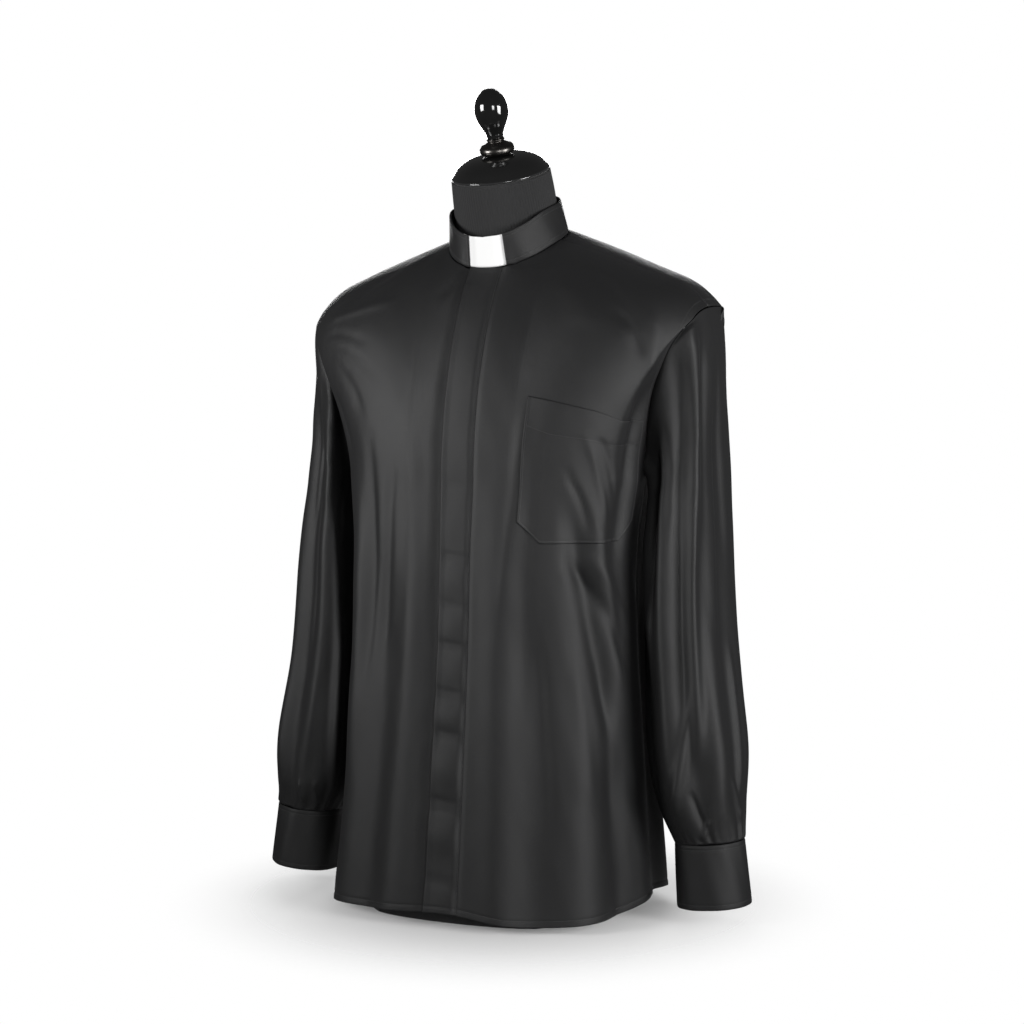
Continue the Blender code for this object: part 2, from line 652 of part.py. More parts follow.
def make_collar(cloth, white):
    gap_angle = math.degrees(math.asin(TAB_HALF_WIDTH / COLLAR_TOP["half_width"]))
    tab_angle = math.degrees(math.asin(TAB_CENTRE_X / COLLAR_TOP["half_width"]))
    angles = tab_angle + np.linspace(gap_angle, 360 - gap_angle, 41)
    ups = np.linspace(0, 1, 4)
    rows = [[collar_ring((a + 180) % 360 - 180, u) for a in angles] for u in ups]
    surface("collar", np.array(rows), cloth, COLLAR_CLOTH, outward=lambda p: type(p)((0, 0, p.z)))
    reach = TAB_HALF_WIDTH + TAB_TUCK
    reach_angle = math.degrees(math.asin(reach / COLLAR_TOP["half_width"]))
    tab_angles = np.linspace(-reach_angle, reach_angle, 11)
    rows = []
    for u in (0.015, 0.35, 0.70, 0.985):
        row = []
        for a in tab_angles:
            inside = COLLAR_CLOTH + LAYER_GAP
            forward = 1 - fade((abs(a) - gap_angle * 0.45) / (gap_angle * 0.45))
            row.append(collar_ring(a + tab_angle, u) - collar_out(a) * inside * (1 - 0.75 * forward))
        rows.append(row)
    surface("collar_tab", np.array(rows), white, TAB_CLOTH, outward=lambda p: type(p)((0, 0, p.z)))


def sleeve_ring(turn, ring):
    """A point of the left sleeve without folds: an ellipse between the line at the body and the
    line away from it. turn is 0 away from the body, 90 in front, 180 at the body."""
    rows = np.arange(len(SLEEVE_RINGS["inner_x"]))
    at = {name: smooth(rows, values, ring) for name, values in SLEEVE_RINGS.items()}
    c, s = np.cos(np.radians(turn)), np.sin(np.radians(turn))
    x = (at["inner_x"] + at["outer_x"]) / 2 + (at["outer_x"] - at["inner_x"]) / 2 * c
    z = (at["inner_z"] + at["outer_z"]) / 2 + (at["outer_z"] - at["inner_z"]) / 2 * c
    y = at["centre_y"] - at["half_depth"] * s
    return np.stack(np.broadcast_arrays(x, y, z), axis=-1)


def sleeve_turns():
    """The turn of each armhole point: its share of the way round the loop."""
    loop = np.array([body(phi, rise) for phi, rise in armhole_places()])
    middle_y = SLEEVE_RINGS["centre_y"][0]
    low, high = loop[:, 2].min(), loop[:, 2].max()
    up = (loop[:, 2] - (low + high) / 2) / ((high - low) / 2)
    side = (middle_y - loop[:, 1]) / SLEEVE_RINGS["half_depth"][0]
    return loop, np.degrees(np.arctan2(side, up))


def even_turns(turns, count):
    """Turns that go once round in even steps, with the same first one."""
    step = 360 / count
    return turns[0] + np.arange(count) * step


def sleeve(turn, ring, loop, turns, out=0.0):
    """Points of the left sleeve: it starts on the armhole's own points and becomes an ellipse."""
    base = sleeve_ring(turn, ring)
    start = loop - sleeve_ring(turns, 0.0)
    left = 1 - fade(ring / ARMHOLE_BLEND_RINGS)
    step = 0.05
    around = sleeve_ring(turn + 1, ring) - sleeve_ring(turn - 1, ring)
    along = sleeve_ring(turn, ring + step) - sleeve_ring(turn, ring - step)
    normal = unit(np.cross(along, around))
    lift = np.zeros(np.broadcast(turn, ring).shape) + out
    for turn_top, ring_top, turn_bottom, ring_bottom, half_width, height in SLEEVE_FOLDS:
        t = (ring - ring_top) / (ring_bottom - ring_top)
        middle = turn_top + (turn_bottom - turn_top) * np.clip(t, 0, 1)
        off = (turn - middle + 180) % 360 - 180
        lift = lift + height * np.exp(-((off / half_width) ** 2)) * fade(t / 0.25) * fade((1 - t) / 0.2)
    return base + start * left[..., None] + normal * lift[..., None]


def make_sleeve(name, cloth, mirror):
    """A sleeve, its placket at the wrist, and for the right arm both mirrored."""
    loop, turns = sleeve_turns()
    turns = np.where(np.arange(len(turns)) > len(turns) / 2, turns % 360, turns)
    turns[0] = turns[0] if turns[0] < 90 else turns[0] - 360
    even = even_turns(turns, len(turns))
    last = len(SLEEVE_RINGS["inner_x"]) - 1
    rings = np.concatenate([np.linspace(0, 4, 9)[:-1], np.linspace(4, last, SLEEVE_ROWS - 8)])
    rows = []
    for ring in rings:
        settle = float(fade(ring / 4))
        turn = turns + (even - turns) * settle
        rows.append(sleeve(turn, np.full(turn.shape, ring), loop, turns))
    points = np.array(rows)
    outwards = np.array([body_normal(np.array(phi), np.array(rise)) for phi, rise in armhole_places()])
    along = unit(points[1] - points[0])
    turned_in = np.maximum(-(outwards * along).sum(axis=-1, keepdims=True), 0)
    over_shoulder = fade((points[0, :, 2:] - 0.60) / 0.03)
    points[0] += along * (SEAM_GAP + SHOULDER_SEAM_GAP * over_shoulder + 1.6 * CLOTH * turned_in)
    side = np.array([-1 if mirror else 1, 1, 1])
    middles = points.mean(axis=1)

    def outward(p):
        i = int(np.argmin(np.abs(middles[:, 2] - p.z)))
        return type(p)(middles[i] * side)

    surface("sleeve_" + name, points * side, cloth, CLOTH, closed=True, outward=outward)

    wrist = np.argsort(np.abs((even - SLEEVE_PLACKET["turn"] + 180) % 360 - 180))[: SLEEVE_PLACKET["columns"] + 1]
    columns = sorted(wrist, key=lambda j: (even[j] - SLEEVE_PLACKET["turn"] + 180) % 360)
    rows = []
    for ring in rings[-1 - SLEEVE_PLACKET["rows"] :]:
        lifted = sleeve(even, np.full(even.shape, ring), loop, turns, CLOTH + LAYER_GAP)
        rows.append(lifted[columns])
    surface("sleeve_placket_" + name, np.array(rows) * side, cloth, CLOTH, outward=outward)


def cuff_point(turn, share, out=0.0):
    """A point of the left cuff's outer face, share 0 at its top edge and 1 at its lower edge."""
    at = {key: values[0] + (values[1] - values[0]) * share for key, values in CUFF.items()}
    a = math.radians(turn)
    return np.array(
        [
            at["centre_x"] + (at["half_width"] + out) * math.cos(a),
            at["centre_y"] - (at["half_depth"] + out) * math.sin(a),
            at["height"],
        ]
    )


def cuff_tilted(point):
    """The cuff hangs square to the forearm, which leans outwards."""
    lean = (CUFF["centre_x"][1] - CUFF["centre_x"][0]) / (CUFF["height"][0] - CUFF["height"][1])
    return point + np.array([0, 0, lean * (point[0] - CUFF["centre_x"][0])])


def make_cuff(name, cloth, shell, mirror):
    """A cuff whose end laps over its start at the back of the wrist, and the button that holds it."""
    side = np.array([-1 if mirror else 1, 1, 1])
    turns = CUFF_OPENING + np.linspace(0, 360 + CUFF_OVERLAP, CUFF_COLUMNS + 3)
    rows = []
    for share in np.linspace(0, 1, CUFF_ROWS):
        row = []
        for turn in turns:
            past = turn - CUFF_OPENING
            inside = 1 - fade((past - CUFF_OVERLAP * 0.9) / 45)
            out = -(CUFF_CLOTH + LAYER_GAP + 0.0002) * inside
            row.append(cuff_tilted(cuff_point(turn, share, out)) * side)
        rows.append(row)
    middle = np.array([CUFF["centre_x"][0], CUFF["centre_y"][0], 0.05]) * side
    surface("cuff_" + name, np.array(rows), cloth, CUFF_CLOTH, outward=lambda p: type(p)((middle[0], middle[1], p.z)))
    turn = CUFF_OPENING + CUFF_OVERLAP * 0.45
    place = cuff_tilted(cuff_point(turn, 0.5, SEAM_GAP + BUTTON["thickness"] / 2)) * side
    a = math.radians(turn)
    outward = np.array([math.cos(a) * side[0], -math.sin(a), 0.0])
    bpy.ops.mesh.primitive_cylinder_add(vertices=20, radius=BUTTON["radius"], depth=BUTTON["thickness"], location=place)
    button = bpy.context.object
    button.name = "cuff_button_" + name
    button.rotation_euler = (math.pi / 2, 0, math.atan2(outward[1], outward[0]) + math.pi / 2)
    for owner in list(button.users_collection):
        owner.objects.unlink(button)
    link(button, shell)


def form_point(phi, rise):
    """A point of the dress form: the bare body moved in by an inset that is small where the shirt rests."""
    point = bare_body(phi, rise, floor=0.0)
    normal = body_normal(np.asarray(phi, float), np.asarray(rise, float), floor=0.0)
    front = np.abs(phi) < 90
    inset = np.where(
        front,
        smooth(FORM_INSET["rise"], FORM_INSET["front"], rise),
        smooth(FORM_INSET["rise"], FORM_INSET["back"], rise),
    )
    plan = np.hypot(
        point[..., 0] / NECKLINE["half_width"],
        (point[..., 1] - NECKLINE["centre_y"]) / NECKLINE["back_depth"],
    )
    inset = inset + 0.007 * fade((1.30 - plan) / 0.28) * (rise > 0.3)
    level = fade(1 - rise / 0.3)
    normal[..., 2] = normal[..., 2] * (1 - level)
    down = fade((rise - 0.90) / 0.10)[..., None]
    way = unit(unit(normal) * (1 - down) + np.array([0, 0, 1.0]) * down)
    return point - way * inset[..., None]


def make_form(cover):
    """The torso of the form: rings of front, side, back and side columns that close along the ridge."""
    angles = np.linspace(0, 90, 400)
    limit = float(np.interp(FORM_REACH, ring_shares(angles)[0], angles))
    front = np.linspace(-limit, limit, 17)
    rises = np.concatenate([np.linspace(-1, 0, 9), np.array([0.14, 0.28, 0.42, 0.54, 0.64, 0.73, 0.80, 0.86, 0.91, 0.955, 1.0])])
    bm = bmesh.new()
    rings = []
    for rise in rises:
        ahead = form_point(front, np.full(front.shape, rise))
        behind = form_point(180 - front, np.full(front.shape, rise))
        side_in = float(smooth(FORM_SIDE_INSET["rise"], FORM_SIDE_INSET["inset"], rise))
        ahead[:, 0] -= np.sign(front) * side_in * fade((np.abs(front) - 30) / (limit - 30))
        behind[:, 0] -= np.sign(front) * side_in * fade((np.abs(front) - 30) / (limit - 30))
        shares = np.linspace(0, 1, 6)[1:-1]
        if rise == 1.0:
            behind = ahead.copy()
        room = np.linalg.norm(behind[-1] - ahead[-1])
        left = [ahead[-1] + (behind[-1] - ahead[-1]) * t + np.array([0.13 * room * math.sin(math.pi * t), 0, 0]) for t in shares]
        right = [p * np.array([-1, 1, 1]) for p in left[::-1]]
        ring = list(ahead) + left + list(behind[::-1]) + right
        rings.append([bm.verts.new(p) for p in ring])
    for low, high in zip(rings, rings[1:]):
        for j in range(len(low)):
            k = (j + 1) % len(low)
            bm.faces.new((low[j], low[k], high[k], high[j]))
    bm.faces.new(rings[0][::-1])
    bmesh.ops.remove_doubles(bm, verts=bm.verts, dist=1e-5)
    bmesh.ops.dissolve_degenerate(bm, edges=bm.edges, dist=1e-6)
    bmesh.ops.recalc_face_normals(bm, faces=bm.faces)
    mesh = bpy.data.meshes.new("form_torso")
    bm.to_mesh(mesh)
    bm.free()
    mesh.shade_smooth()
    return link(bpy.data.objects.new("form_torso", mesh), cover)


def neck_axis(down):
    """A point on the neck's axis, a distance below its top, and the axis direction."""
    axis = np.array([0.0, -math.sin(NECK_LEAN), math.cos(NECK_LEAN)])
    return np.array([0.0, NECK_TOP["y"], NECK_TOP["z"]]) - axis * down, axis


def make_neck(cover):
    """The neck: ellipses square to its leaning axis, later joined to the torso."""
    bm = bmesh.new()
    rings = []
    across = np.array([0.0, -math.cos(NECK_LEAN), -math.sin(NECK_LEAN)])
    for down in np.linspace(0, NECK_RINGS["down"][-1], 9):
        centre, _ = neck_axis(down)
        wide = float(smooth(NECK_RINGS["down"], NECK_RINGS["half_width"], down))
        deep = float(smooth(NECK_RINGS["down"], NECK_RINGS["half_depth"], down))
        centre = centre - np.array([0, float(smooth(NECK_RINGS["down"], NECK_RINGS["forward"], down)), 0])
        turns = np.linspace(0, 2 * math.pi, 28, endpoint=False)
        rings.append([bm.verts.new(centre + np.array([wide * math.sin(t), 0, 0]) + across * deep * math.cos(t)) for t in turns])
    for high, low in zip(rings, rings[1:]):
        for j in range(len(low)):
            k = (j + 1) % len(low)
            bm.faces.new((low[j], low[k], high[k], high[j]))
    bm.faces.new(rings[0])
    bm.faces.new(rings[-1][::-1])
    bmesh.ops.recalc_face_normals(bm, faces=bm.faces)
    mesh = bpy.data.meshes.new("neck_column")
    bm.to_mesh(mesh)
    bm.free()
    mesh.shade_smooth()
    neck = bpy.data.objects.new("neck_column", mesh)
    HELPERS.objects.link(neck)
    neck.hide_render = True
    neck.display_type = "WIRE"
    return neck


def turned(name, profile, mat, base, steps=TURNED_STEPS):
    """A turned piece on the neck's axis, from a profile that runs from its top down its outer side."""
    mesh = bpy.data.meshes.new(name)
    points = [(0.0, 0.0, profile[0][1])] if profile[0][0] > 0 else []
    points += [(r, 0.0, z) for r, z in profile]
    points += [(0.0, 0.0, profile[-1][1])]
    mesh.from_pydata(points, [(i, i + 1) for i in range(len(points) - 1)], [])
    obj = link(bpy.data.objects.new(name, mesh), mat)
    place, _ = neck_axis(-base)
    obj.location = place
    obj.rotation_euler = (NECK_LEAN, 0, 0)
    spin = obj.modifiers.new("Turned", "SCREW")
    spin.steps = spin.render_steps = steps
    spin.use_merge_vertices = True
    spin.merge_threshold = 0.00005
    spin.use_smooth_shade = True
    return obj


def main():
    for obj in list(bpy.data.objects):
        bpy.data.objects.remove(obj, do_unlink=True)
    black = material("black_cloth", (0.035, 0.035, 0.036), 0.62)
    white = material("white_tab", (0.86, 0.86, 0.85), 0.45)
    shell = material("black_button", (0.02, 0.02, 0.02), 0.3)
    cover = material("form_cover", (0.018, 0.018, 0.019), 0.85)
    gloss = material("gloss_black", (0.012, 0.012, 0.012), 0.18)

    phi, rise = make_front_left(black)
    make_placket(black, phi, rise)
    make_pocket(black, phi, rise)
    make_front_right(black)
    make_back(black)
    make_yoke(black)
    make_collar(black, white)
    for name, mirror in (("left", False), ("right", True)):
        make_sleeve(name, black, mirror)
        make_cuff(name, black, shell, mirror)

    torso = make_form(cover)
    neck = make_neck(cover)
    join = torso.modifiers.new("Neck", "BOOLEAN")
    join.operation = "UNION"
    join.object = neck
    turned("neck_cap", CAP_PROFILE, gloss, 0.0)
    turned("finial", FINIAL_PROFILE, gloss, CAP_PROFILE[0][1])


COLLECTION = bpy.data.collections.new("clergy_shirt")
HELPERS = bpy.data.collections.new("helpers")
bpy.context.scene.collection.children.link(COLLECTION)
bpy.context.scene.collection.children.link(HELPERS)
main()
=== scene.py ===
# %% [markdown]
# # A clergy shirt on a limbless dress form
#
# The real thing is a men's long-sleeved shirt in black twill, with a band collar that holds a white tab.
# It hangs on a dress form whose neck is covered in ribbed jersey and ends in a lacquered cap and finial.
# Cloth could be modelled as a few smooth panels with a bumpy material. Here each panel is a surface worked
# out from two coordinates of the body, so that its folds, puckers and seams are in the mesh itself.

# %% Load the measured model
import math

import bmesh
import bpy
import numpy as np
from mathutils import Matrix


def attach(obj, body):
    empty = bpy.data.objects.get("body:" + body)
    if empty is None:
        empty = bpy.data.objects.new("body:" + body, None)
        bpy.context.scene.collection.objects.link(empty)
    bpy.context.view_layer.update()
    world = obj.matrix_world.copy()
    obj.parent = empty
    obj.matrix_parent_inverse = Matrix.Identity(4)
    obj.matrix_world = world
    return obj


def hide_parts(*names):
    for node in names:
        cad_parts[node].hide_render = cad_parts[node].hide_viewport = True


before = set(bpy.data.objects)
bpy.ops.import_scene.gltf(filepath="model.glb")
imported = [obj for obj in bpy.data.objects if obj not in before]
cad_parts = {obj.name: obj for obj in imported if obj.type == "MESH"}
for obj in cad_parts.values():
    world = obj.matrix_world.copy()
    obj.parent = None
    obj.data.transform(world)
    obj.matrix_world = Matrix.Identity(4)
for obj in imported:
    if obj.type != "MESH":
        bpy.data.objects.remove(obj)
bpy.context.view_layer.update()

# %% [markdown]
# ## Smooth curves through short tables
#
# A garment is drafted from a few measurements at named heights. A spline through such a table gives every
# value between them. A cubic Hermite spline is used, because it never swings past a measurement.

# %% Curves and ramps
def smooth(xs, ys, x):
    """Cubic Hermite spline through the points (xs, ys), with slopes averaged between neighbours."""
    xs, ys, x = np.asarray(xs, float), np.asarray(ys, float), np.asarray(x, float)
    steps = np.diff(ys) / np.diff(xs)
    inner = np.where(steps[:-1] * steps[1:] > 0, (steps[:-1] + steps[1:]) / 2, 0.0)
    slopes = np.concatenate([steps[:1], inner, steps[-1:]])
    x = np.clip(x, xs[0], xs[-1])
    i = np.clip(np.searchsorted(xs, x, side="right") - 1, 0, len(xs) - 2)
    width = xs[i + 1] - xs[i]
    t = (x - xs[i]) / width
    return (
        ys[i] * (2 * t**3 - 3 * t**2 + 1)
        + slopes[i] * width * (t**3 - 2 * t**2 + t)
        + ys[i + 1] * (3 * t**2 - 2 * t**3)
        + slopes[i + 1] * width * (t**3 - t**2)
    )


def fade(t):
    """3t^2 - 2t^3 between 0 and 1, and flat outside."""
    t = np.clip(t, 0.0, 1.0)
    return t * t * (3 - 2 * t)


def bell(distance, width):
    """exp(-(distance / width)^2): the cross section of a soft fold."""
    return np.exp(-((distance / width) ** 2))


def unit(v):
    """v divided by its length."""
    return v / np.maximum(np.linalg.norm(v, axis=-1, keepdims=True), 1e-12)


# %% [markdown]
# ## The body of the shirt as one surface
#
# Below the arms the worn cloth is a stack of rounded rings. Above them each column of cloth arches over the
# shoulder to its ridge. Both can be written with an angle phi round the body (0 in front, 90 at the wearer's
# left side, 180 behind) and a rise (-1 at the hem, 0 at the underarm, 1 on the ridge). The same few sizes
# as in the solid model keep every panel in its place.

# %% Sizes of the body
UNDERARM_Z = 0.475
SQUARENESS = 0.080
MEAN_RADIUS = 0.160
BODY = {
    "height": (0.000, 0.100, 0.200, 0.310, 0.400, 0.475, 0.560),
    "half_width": (0.182, 0.174, 0.167, 0.162, 0.163, 0.172, 0.180),
    "front": (-0.168, -0.154, -0.142, -0.131, -0.126, -0.121, -0.118),
    "back": (0.146, 0.139, 0.130, 0.118, 0.113, 0.116, 0.116),
}
HEM = {
    "phi": (-180, -130, -90, -60, -30, -8, 0, 30, 60, 80, 90, 130, 180),
    "height": (0.006, 0.010, 0.017, 0.008, 0.012, 0.016, 0.017, 0.008, 0.011, 0.017, 0.022, 0.011, 0.006),
}
TIP_X = 0.240
NECK_RIDGE_X, NECK_RIDGE_Z = 0.067, 0.7485
SHOULDER_SLOPE = 0.432
RIDGE_ROUND = 0.045
ROUNDING_FROM_X, ROUNDING = 0.195, 8.4
RIDGE_Y_NECK, RIDGE_Y_TIP = 0.050, 0.054
FRONT_SHAPE = (1.85, 2.75)
BACK_SHAPE = (3.30, 3.10)
SPREAD_POWER = 1.2
TIP_SHARE, SHAPE_FROM = 0.90, 0.26


# %% The bare surface
def ring_shares(phi):
    """sin(phi) and cos(phi), both made a little fuller between the axes: times 1 + k sin^2(2 phi)."""
    a = np.radians(phi)
    fuller = 1 + SQUARENESS * np.sin(2 * a) ** 2
    return np.sin(a) * fuller, np.cos(a) * fuller


def ring_depth(share, z):
    """y between the front line (share 1), the side line (0) and the back line (-1) at height z."""
    front, back = smooth(BODY["height"], BODY["front"], z), smooth(BODY["height"], BODY["back"], z)
    side = (front + back) / 2
    return np.where(share > 0, side + (front - side) * share, side - (back - side) * share)


def ridge(x):
    """The shoulder line: a slope rounded at the neck as sqrt(x^2 + r^2) and at the tip as a parabola."""
    x = np.abs(x)
    along = np.hypot(x, RIDGE_ROUND) - math.hypot(NECK_RIDGE_X, RIDGE_ROUND)
    z = NECK_RIDGE_Z - SHOULDER_SLOPE * along - ROUNDING * np.maximum(x - ROUNDING_FROM_X, 0) ** 2
    return RIDGE_Y_NECK + (RIDGE_Y_TIP - RIDGE_Y_NECK) * x / TIP_X, z


def hem_height(phi):
    """Height of the hem, which dips and rises round the body."""
    return smooth(HEM["phi"], HEM["height"], (phi + 180) % 360 - 180)


HALF_WIDTH_UNDERARM = float(smooth(BODY["height"], BODY["half_width"], UNDERARM_Z))


def shoulder_shape(wide, front):
    """Exponent of the arch over the chest or the back, from its middle value to its side value."""
    share = fade((wide - SHAPE_FROM) / (TIP_SHARE - SHAPE_FROM))
    ahead = FRONT_SHAPE[0] + (FRONT_SHAPE[1] - FRONT_SHAPE[0]) * share
    behind = BACK_SHAPE[0] + (BACK_SHAPE[1] - BACK_SHAPE[0]) * share
    return np.where(front, ahead, behind)


def shoulder_spread(wide):
    """How far a column moves out towards the shoulder tip: the missing width times its share cubed."""
    return (TIP_X - HALF_WIDTH_UNDERARM * wide) * np.minimum(wide / TIP_SHARE, 1) ** 3


def bare_body(phi, rise):
    """Rings up to the underarm. Above it x spreads with sin^p, and y and z run along a superellipse."""
    phi, rise = np.broadcast_arrays(np.asarray(phi, float), np.asarray(rise, float))
    wide, deep = ring_shares(phi)
    hem = hem_height(phi)
    z_low = hem + (UNDERARM_Z - hem) * (1 + np.minimum(rise, 0))
    half = smooth(BODY["height"], BODY["half_width"], z_low)
    up = np.clip(rise, 0, 1)
    spread = np.sign(wide) * shoulder_spread(np.abs(wide))
    x = half * wide + spread * np.sin(up * math.pi / 2) ** SPREAD_POWER
    y_low = ring_depth(deep, z_low)
    y_ridge, z_ridge = ridge(HALF_WIDTH_UNDERARM * wide + spread)
    power = 2 / shoulder_shape(np.abs(wide), deep > 0)
    z = z_low + (z_ridge - z_low) * np.sin(up * math.pi / 2) ** power
    y = y_ridge + (y_low - y_ridge) * np.maximum(np.cos(up * math.pi / 2), 0) ** power
    return np.stack([x, np.where(up > 0, y, y_low), np.where(up > 0, z, z_low)], axis=-1)


def body_normal(phi, rise):
    """Outward direction: the cross product of a step round the body and a step up it."""
    level = np.clip(rise, -1, 0.985)
    low, high = np.clip(rise - 0.012, -1, 0.985), np.clip(rise + 0.012, -0.985, 0.999)
    around = bare_body(phi + 0.6, level) - bare_body(phi - 0.6, level)
    return unit(np.cross(around, bare_body(phi, high) - bare_body(phi, low)))


neck_z, tip_z = (round(float(ridge(x)[1]), 3) for x in (NECK_RIDGE_X, TIP_X))
print("The neck's ridge is", neck_z, "m high and the shoulder tip", tip_z)

# %% [markdown]
# ## Large folds and small creases
#
# The shirt hangs from the shoulders and the chest, so long soft folds run down from there, and short ones
# radiate from the armpits and the buttons. They could be simulated, but a simulation wouldn't put them where
# this shirt has them. Each is a row of a table: a line on the cloth with a width and a height, and a side on
# which it is steeper. A ridge has a positive height and a trough a negative one.

# %% Table of the large folds
LARGE_FOLDS = (
    # phi_top, z_top, phi_bottom, z_bottom, half_width, height
    (-66, 0.60, -66, 0.36, 0.016, -0.006),
    (66, 0.60, 68, 0.36, 0.016, -0.006),
    (-70, 0.50, -64, -0.12, 0.020, -0.007),
    (-62, 0.26, -60, -0.14, 0.034, -0.006),
    (-50, 0.52, -46, -0.14, 0.024, 0.006),
    (-31, 0.46, -30, -0.14, 0.020, -0.005),
    (-17, 0.44, -19, -0.14, 0.018, 0.004),
    (16, 0.52, 22, -0.14, 0.018, 0.005),
    (30, 0.40, 34, -0.14, 0.020, -0.005),
    (41, 0.47, 68, 0.17, 0.013, -0.007),
    (50, 0.48, 76, 0.20, 0.014, 0.006),
    (48, 0.26, 50, -0.14, 0.024, 0.006),
    (66, 0.22, 66, -0.14, 0.018, -0.005),
    (84, 0.44, 86, -0.14, 0.022, 0.006),
    (99, 0.42, 99, -0.14, 0.016, -0.004),
    (116, 0.52, 116, -0.14, 0.022, 0.006),
    (141, 0.54, 144, -0.14, 0.020, -0.007),
    (160, 0.50, 163, -0.14, 0.022, 0.006),
    (180, 0.56, 180, -0.14, 0.020, -0.006),
    (-160, 0.52, -161, -0.14, 0.022, 0.006),
    (-142, 0.55, -140, -0.14, 0.020, -0.007),
    (-122, 0.50, -120, -0.14, 0.022, 0.006),
    (-103, 0.46, -100, -0.14, 0.020, -0.006),
    (-86, 0.40, -84, -0.14, 0.022, 0.006),
)
LARGE_FOLD_FADE = 0.28


def large_folds(phi, z):
    """Sum of the rows: a bell across each fold, times a fade at both of its ends."""
    total = np.zeros(np.broadcast(phi, z).shape)
    for phi_top, z_top, phi_bottom, z_bottom, half_width, height in LARGE_FOLDS:
        t = (z_top - z) / (z_top - z_bottom)
        middle = phi_top + (phi_bottom - phi_top) * np.clip(t, 0, 1)
        off = (phi - middle + 180) % 360 - 180
        across = bell(np.radians(off) * MEAN_RADIUS, half_width)
        total += height * across * fade(t / LARGE_FOLD_FADE) * fade((1 - t) / LARGE_FOLD_FADE)
    return total


# %% Table of the creases, as they show in front and alike behind
BODY_CREASES = (
    # phi_start, rise_start, phi_end, rise_end, half_width, height, steep, bow
    (-36, 0.14, -42, -0.55, 0.0090, -0.0030, 0.5, 0.004),
    (-24, 0.10, -32, -0.48, 0.0080, -0.0022, 0.4, -0.004),
    (-46, 0.06, -47, -0.80, 0.0120, 0.0026, 0.3, 0.003),
    (-19, 0.26, -18, -0.60, 0.0100, 0.0018, -0.3, 0.003),
    (-53, 0.50, -34, 0.36, 0.0045, -0.0012, 0.5, 0.004),
    (-50, 0.42, -30, 0.22, 0.0050, -0.0012, 0.4, 0.006),
    (-52, 0.56, -26, 0.54, 0.0070, 0.0016, -0.4, -0.006),
    (-50, 0.33, -38, 0.12, 0.0060, -0.0015, 0.5, 0.005),
    (-56, 0.26, -50, 0.00, 0.0060, -0.0020, 0.4, 0.002),
    (38, 0.03, 53, -0.14, 0.0042, -0.0024, 0.6, 0.004),
    (43, 0.10, 60, -0.12, 0.0042, 0.0018, 0.4, 0.004),
    (48, 0.10, 64, -0.06, 0.0040, -0.0016, 0.5, 0.003),
    (38, -0.15, 76, -0.46, 0.0080, -0.0030, 0.5, 0.010),
    (44, -0.14, 82, -0.40, 0.0090, 0.0022, 0.4, 0.010),
    (23, 0.24, 19, -0.40, 0.0075, 0.0024, -0.5, 0.003),
    (28, 0.10, 27, -0.60, 0.0085, -0.0016, 0.3, 0.002),
    (31, -0.30, 36, -0.86, 0.0100, -0.0022, 0.4, 0.004),
    (46, -0.36, 51, -0.78, 0.0100, 0.0016, 0.3, 0.005),
    (60, -0.30, 63, -0.90, 0.0100, -0.0018, 0.4, 0.004),
    (37, 0.56, 54, 0.36, 0.0060, -0.0020, 0.6, 0.004),
    (28, 0.72, 47, 0.44, 0.0110, -0.0022, 0.4, 0.006),
    (24, 0.62, 36, 0.40, 0.0120, 0.0014, 0.3, 0.006),
    (46, 0.62, 60, 0.30, 0.0080, 0.0022, 0.4, 0.004),
    (60, 0.24, 66, -0.04, 0.0060, 0.0018, 0.4, 0.003),
    (-30, 0.74, -46, 0.58, 0.0110, -0.0014, 0.3, 0.005),
    (-22, 0.80, -38, 0.60, 0.0100, 0.0012, 0.3, 0.004),
    (-7, 0.64, -15, 0.50, 0.0055, -0.0016, 0.4, 0.002),
    (6, 0.63, 20, 0.66, 0.0040, -0.0010, 0.4, -0.004),
    (100, 0.06, 118, -0.30, 0.0070, -0.0028, 0.5, 0.008),
    (104, 0.16, 132, -0.06, 0.0070, 0.0020, 0.4, 0.008),
    (122, 0.34, 146, 0.10, 0.0080, -0.0022, 0.5, 0.006),
    (130, -0.04, 133, -0.70, 0.0100, -0.0024, 0.4, 0.004),
    (152, 0.20, 156, -0.52, 0.0100, 0.0022, 0.3, 0.003),
    (170, 0.30, 172, -0.62, 0.0090, -0.0022, 0.4, 0.003),
    (-176, 0.22, -174, -0.40, 0.0090, 0.0020, -0.3, 0.002),
    (-150, 0.24, -152, -0.60, 0.0100, -0.0024, 0.4, 0.004),
    (-128, 0.36, -148, 0.12, 0.0080, -0.0020, 0.5, 0.005),
    (-103, 0.10, -126, -0.24, 0.0070, -0.0028, 0.5, 0.008),
    (-106, 0.20, -134, 0.02, 0.0070, 0.0018, 0.4, 0.006),
    (-116, -0.22, -114, -0.84, 0.0100, 0.0022, 0.3, 0.004),
    (-80, -0.10, -92, -0.62, 0.0080, -0.0022, 0.4, 0.004),
    (88, -0.18, 96, -0.66, 0.0080, -0.0020, 0.4, 0.004),
)
RISE_LENGTH = 0.42
CREASE_END = 0.30


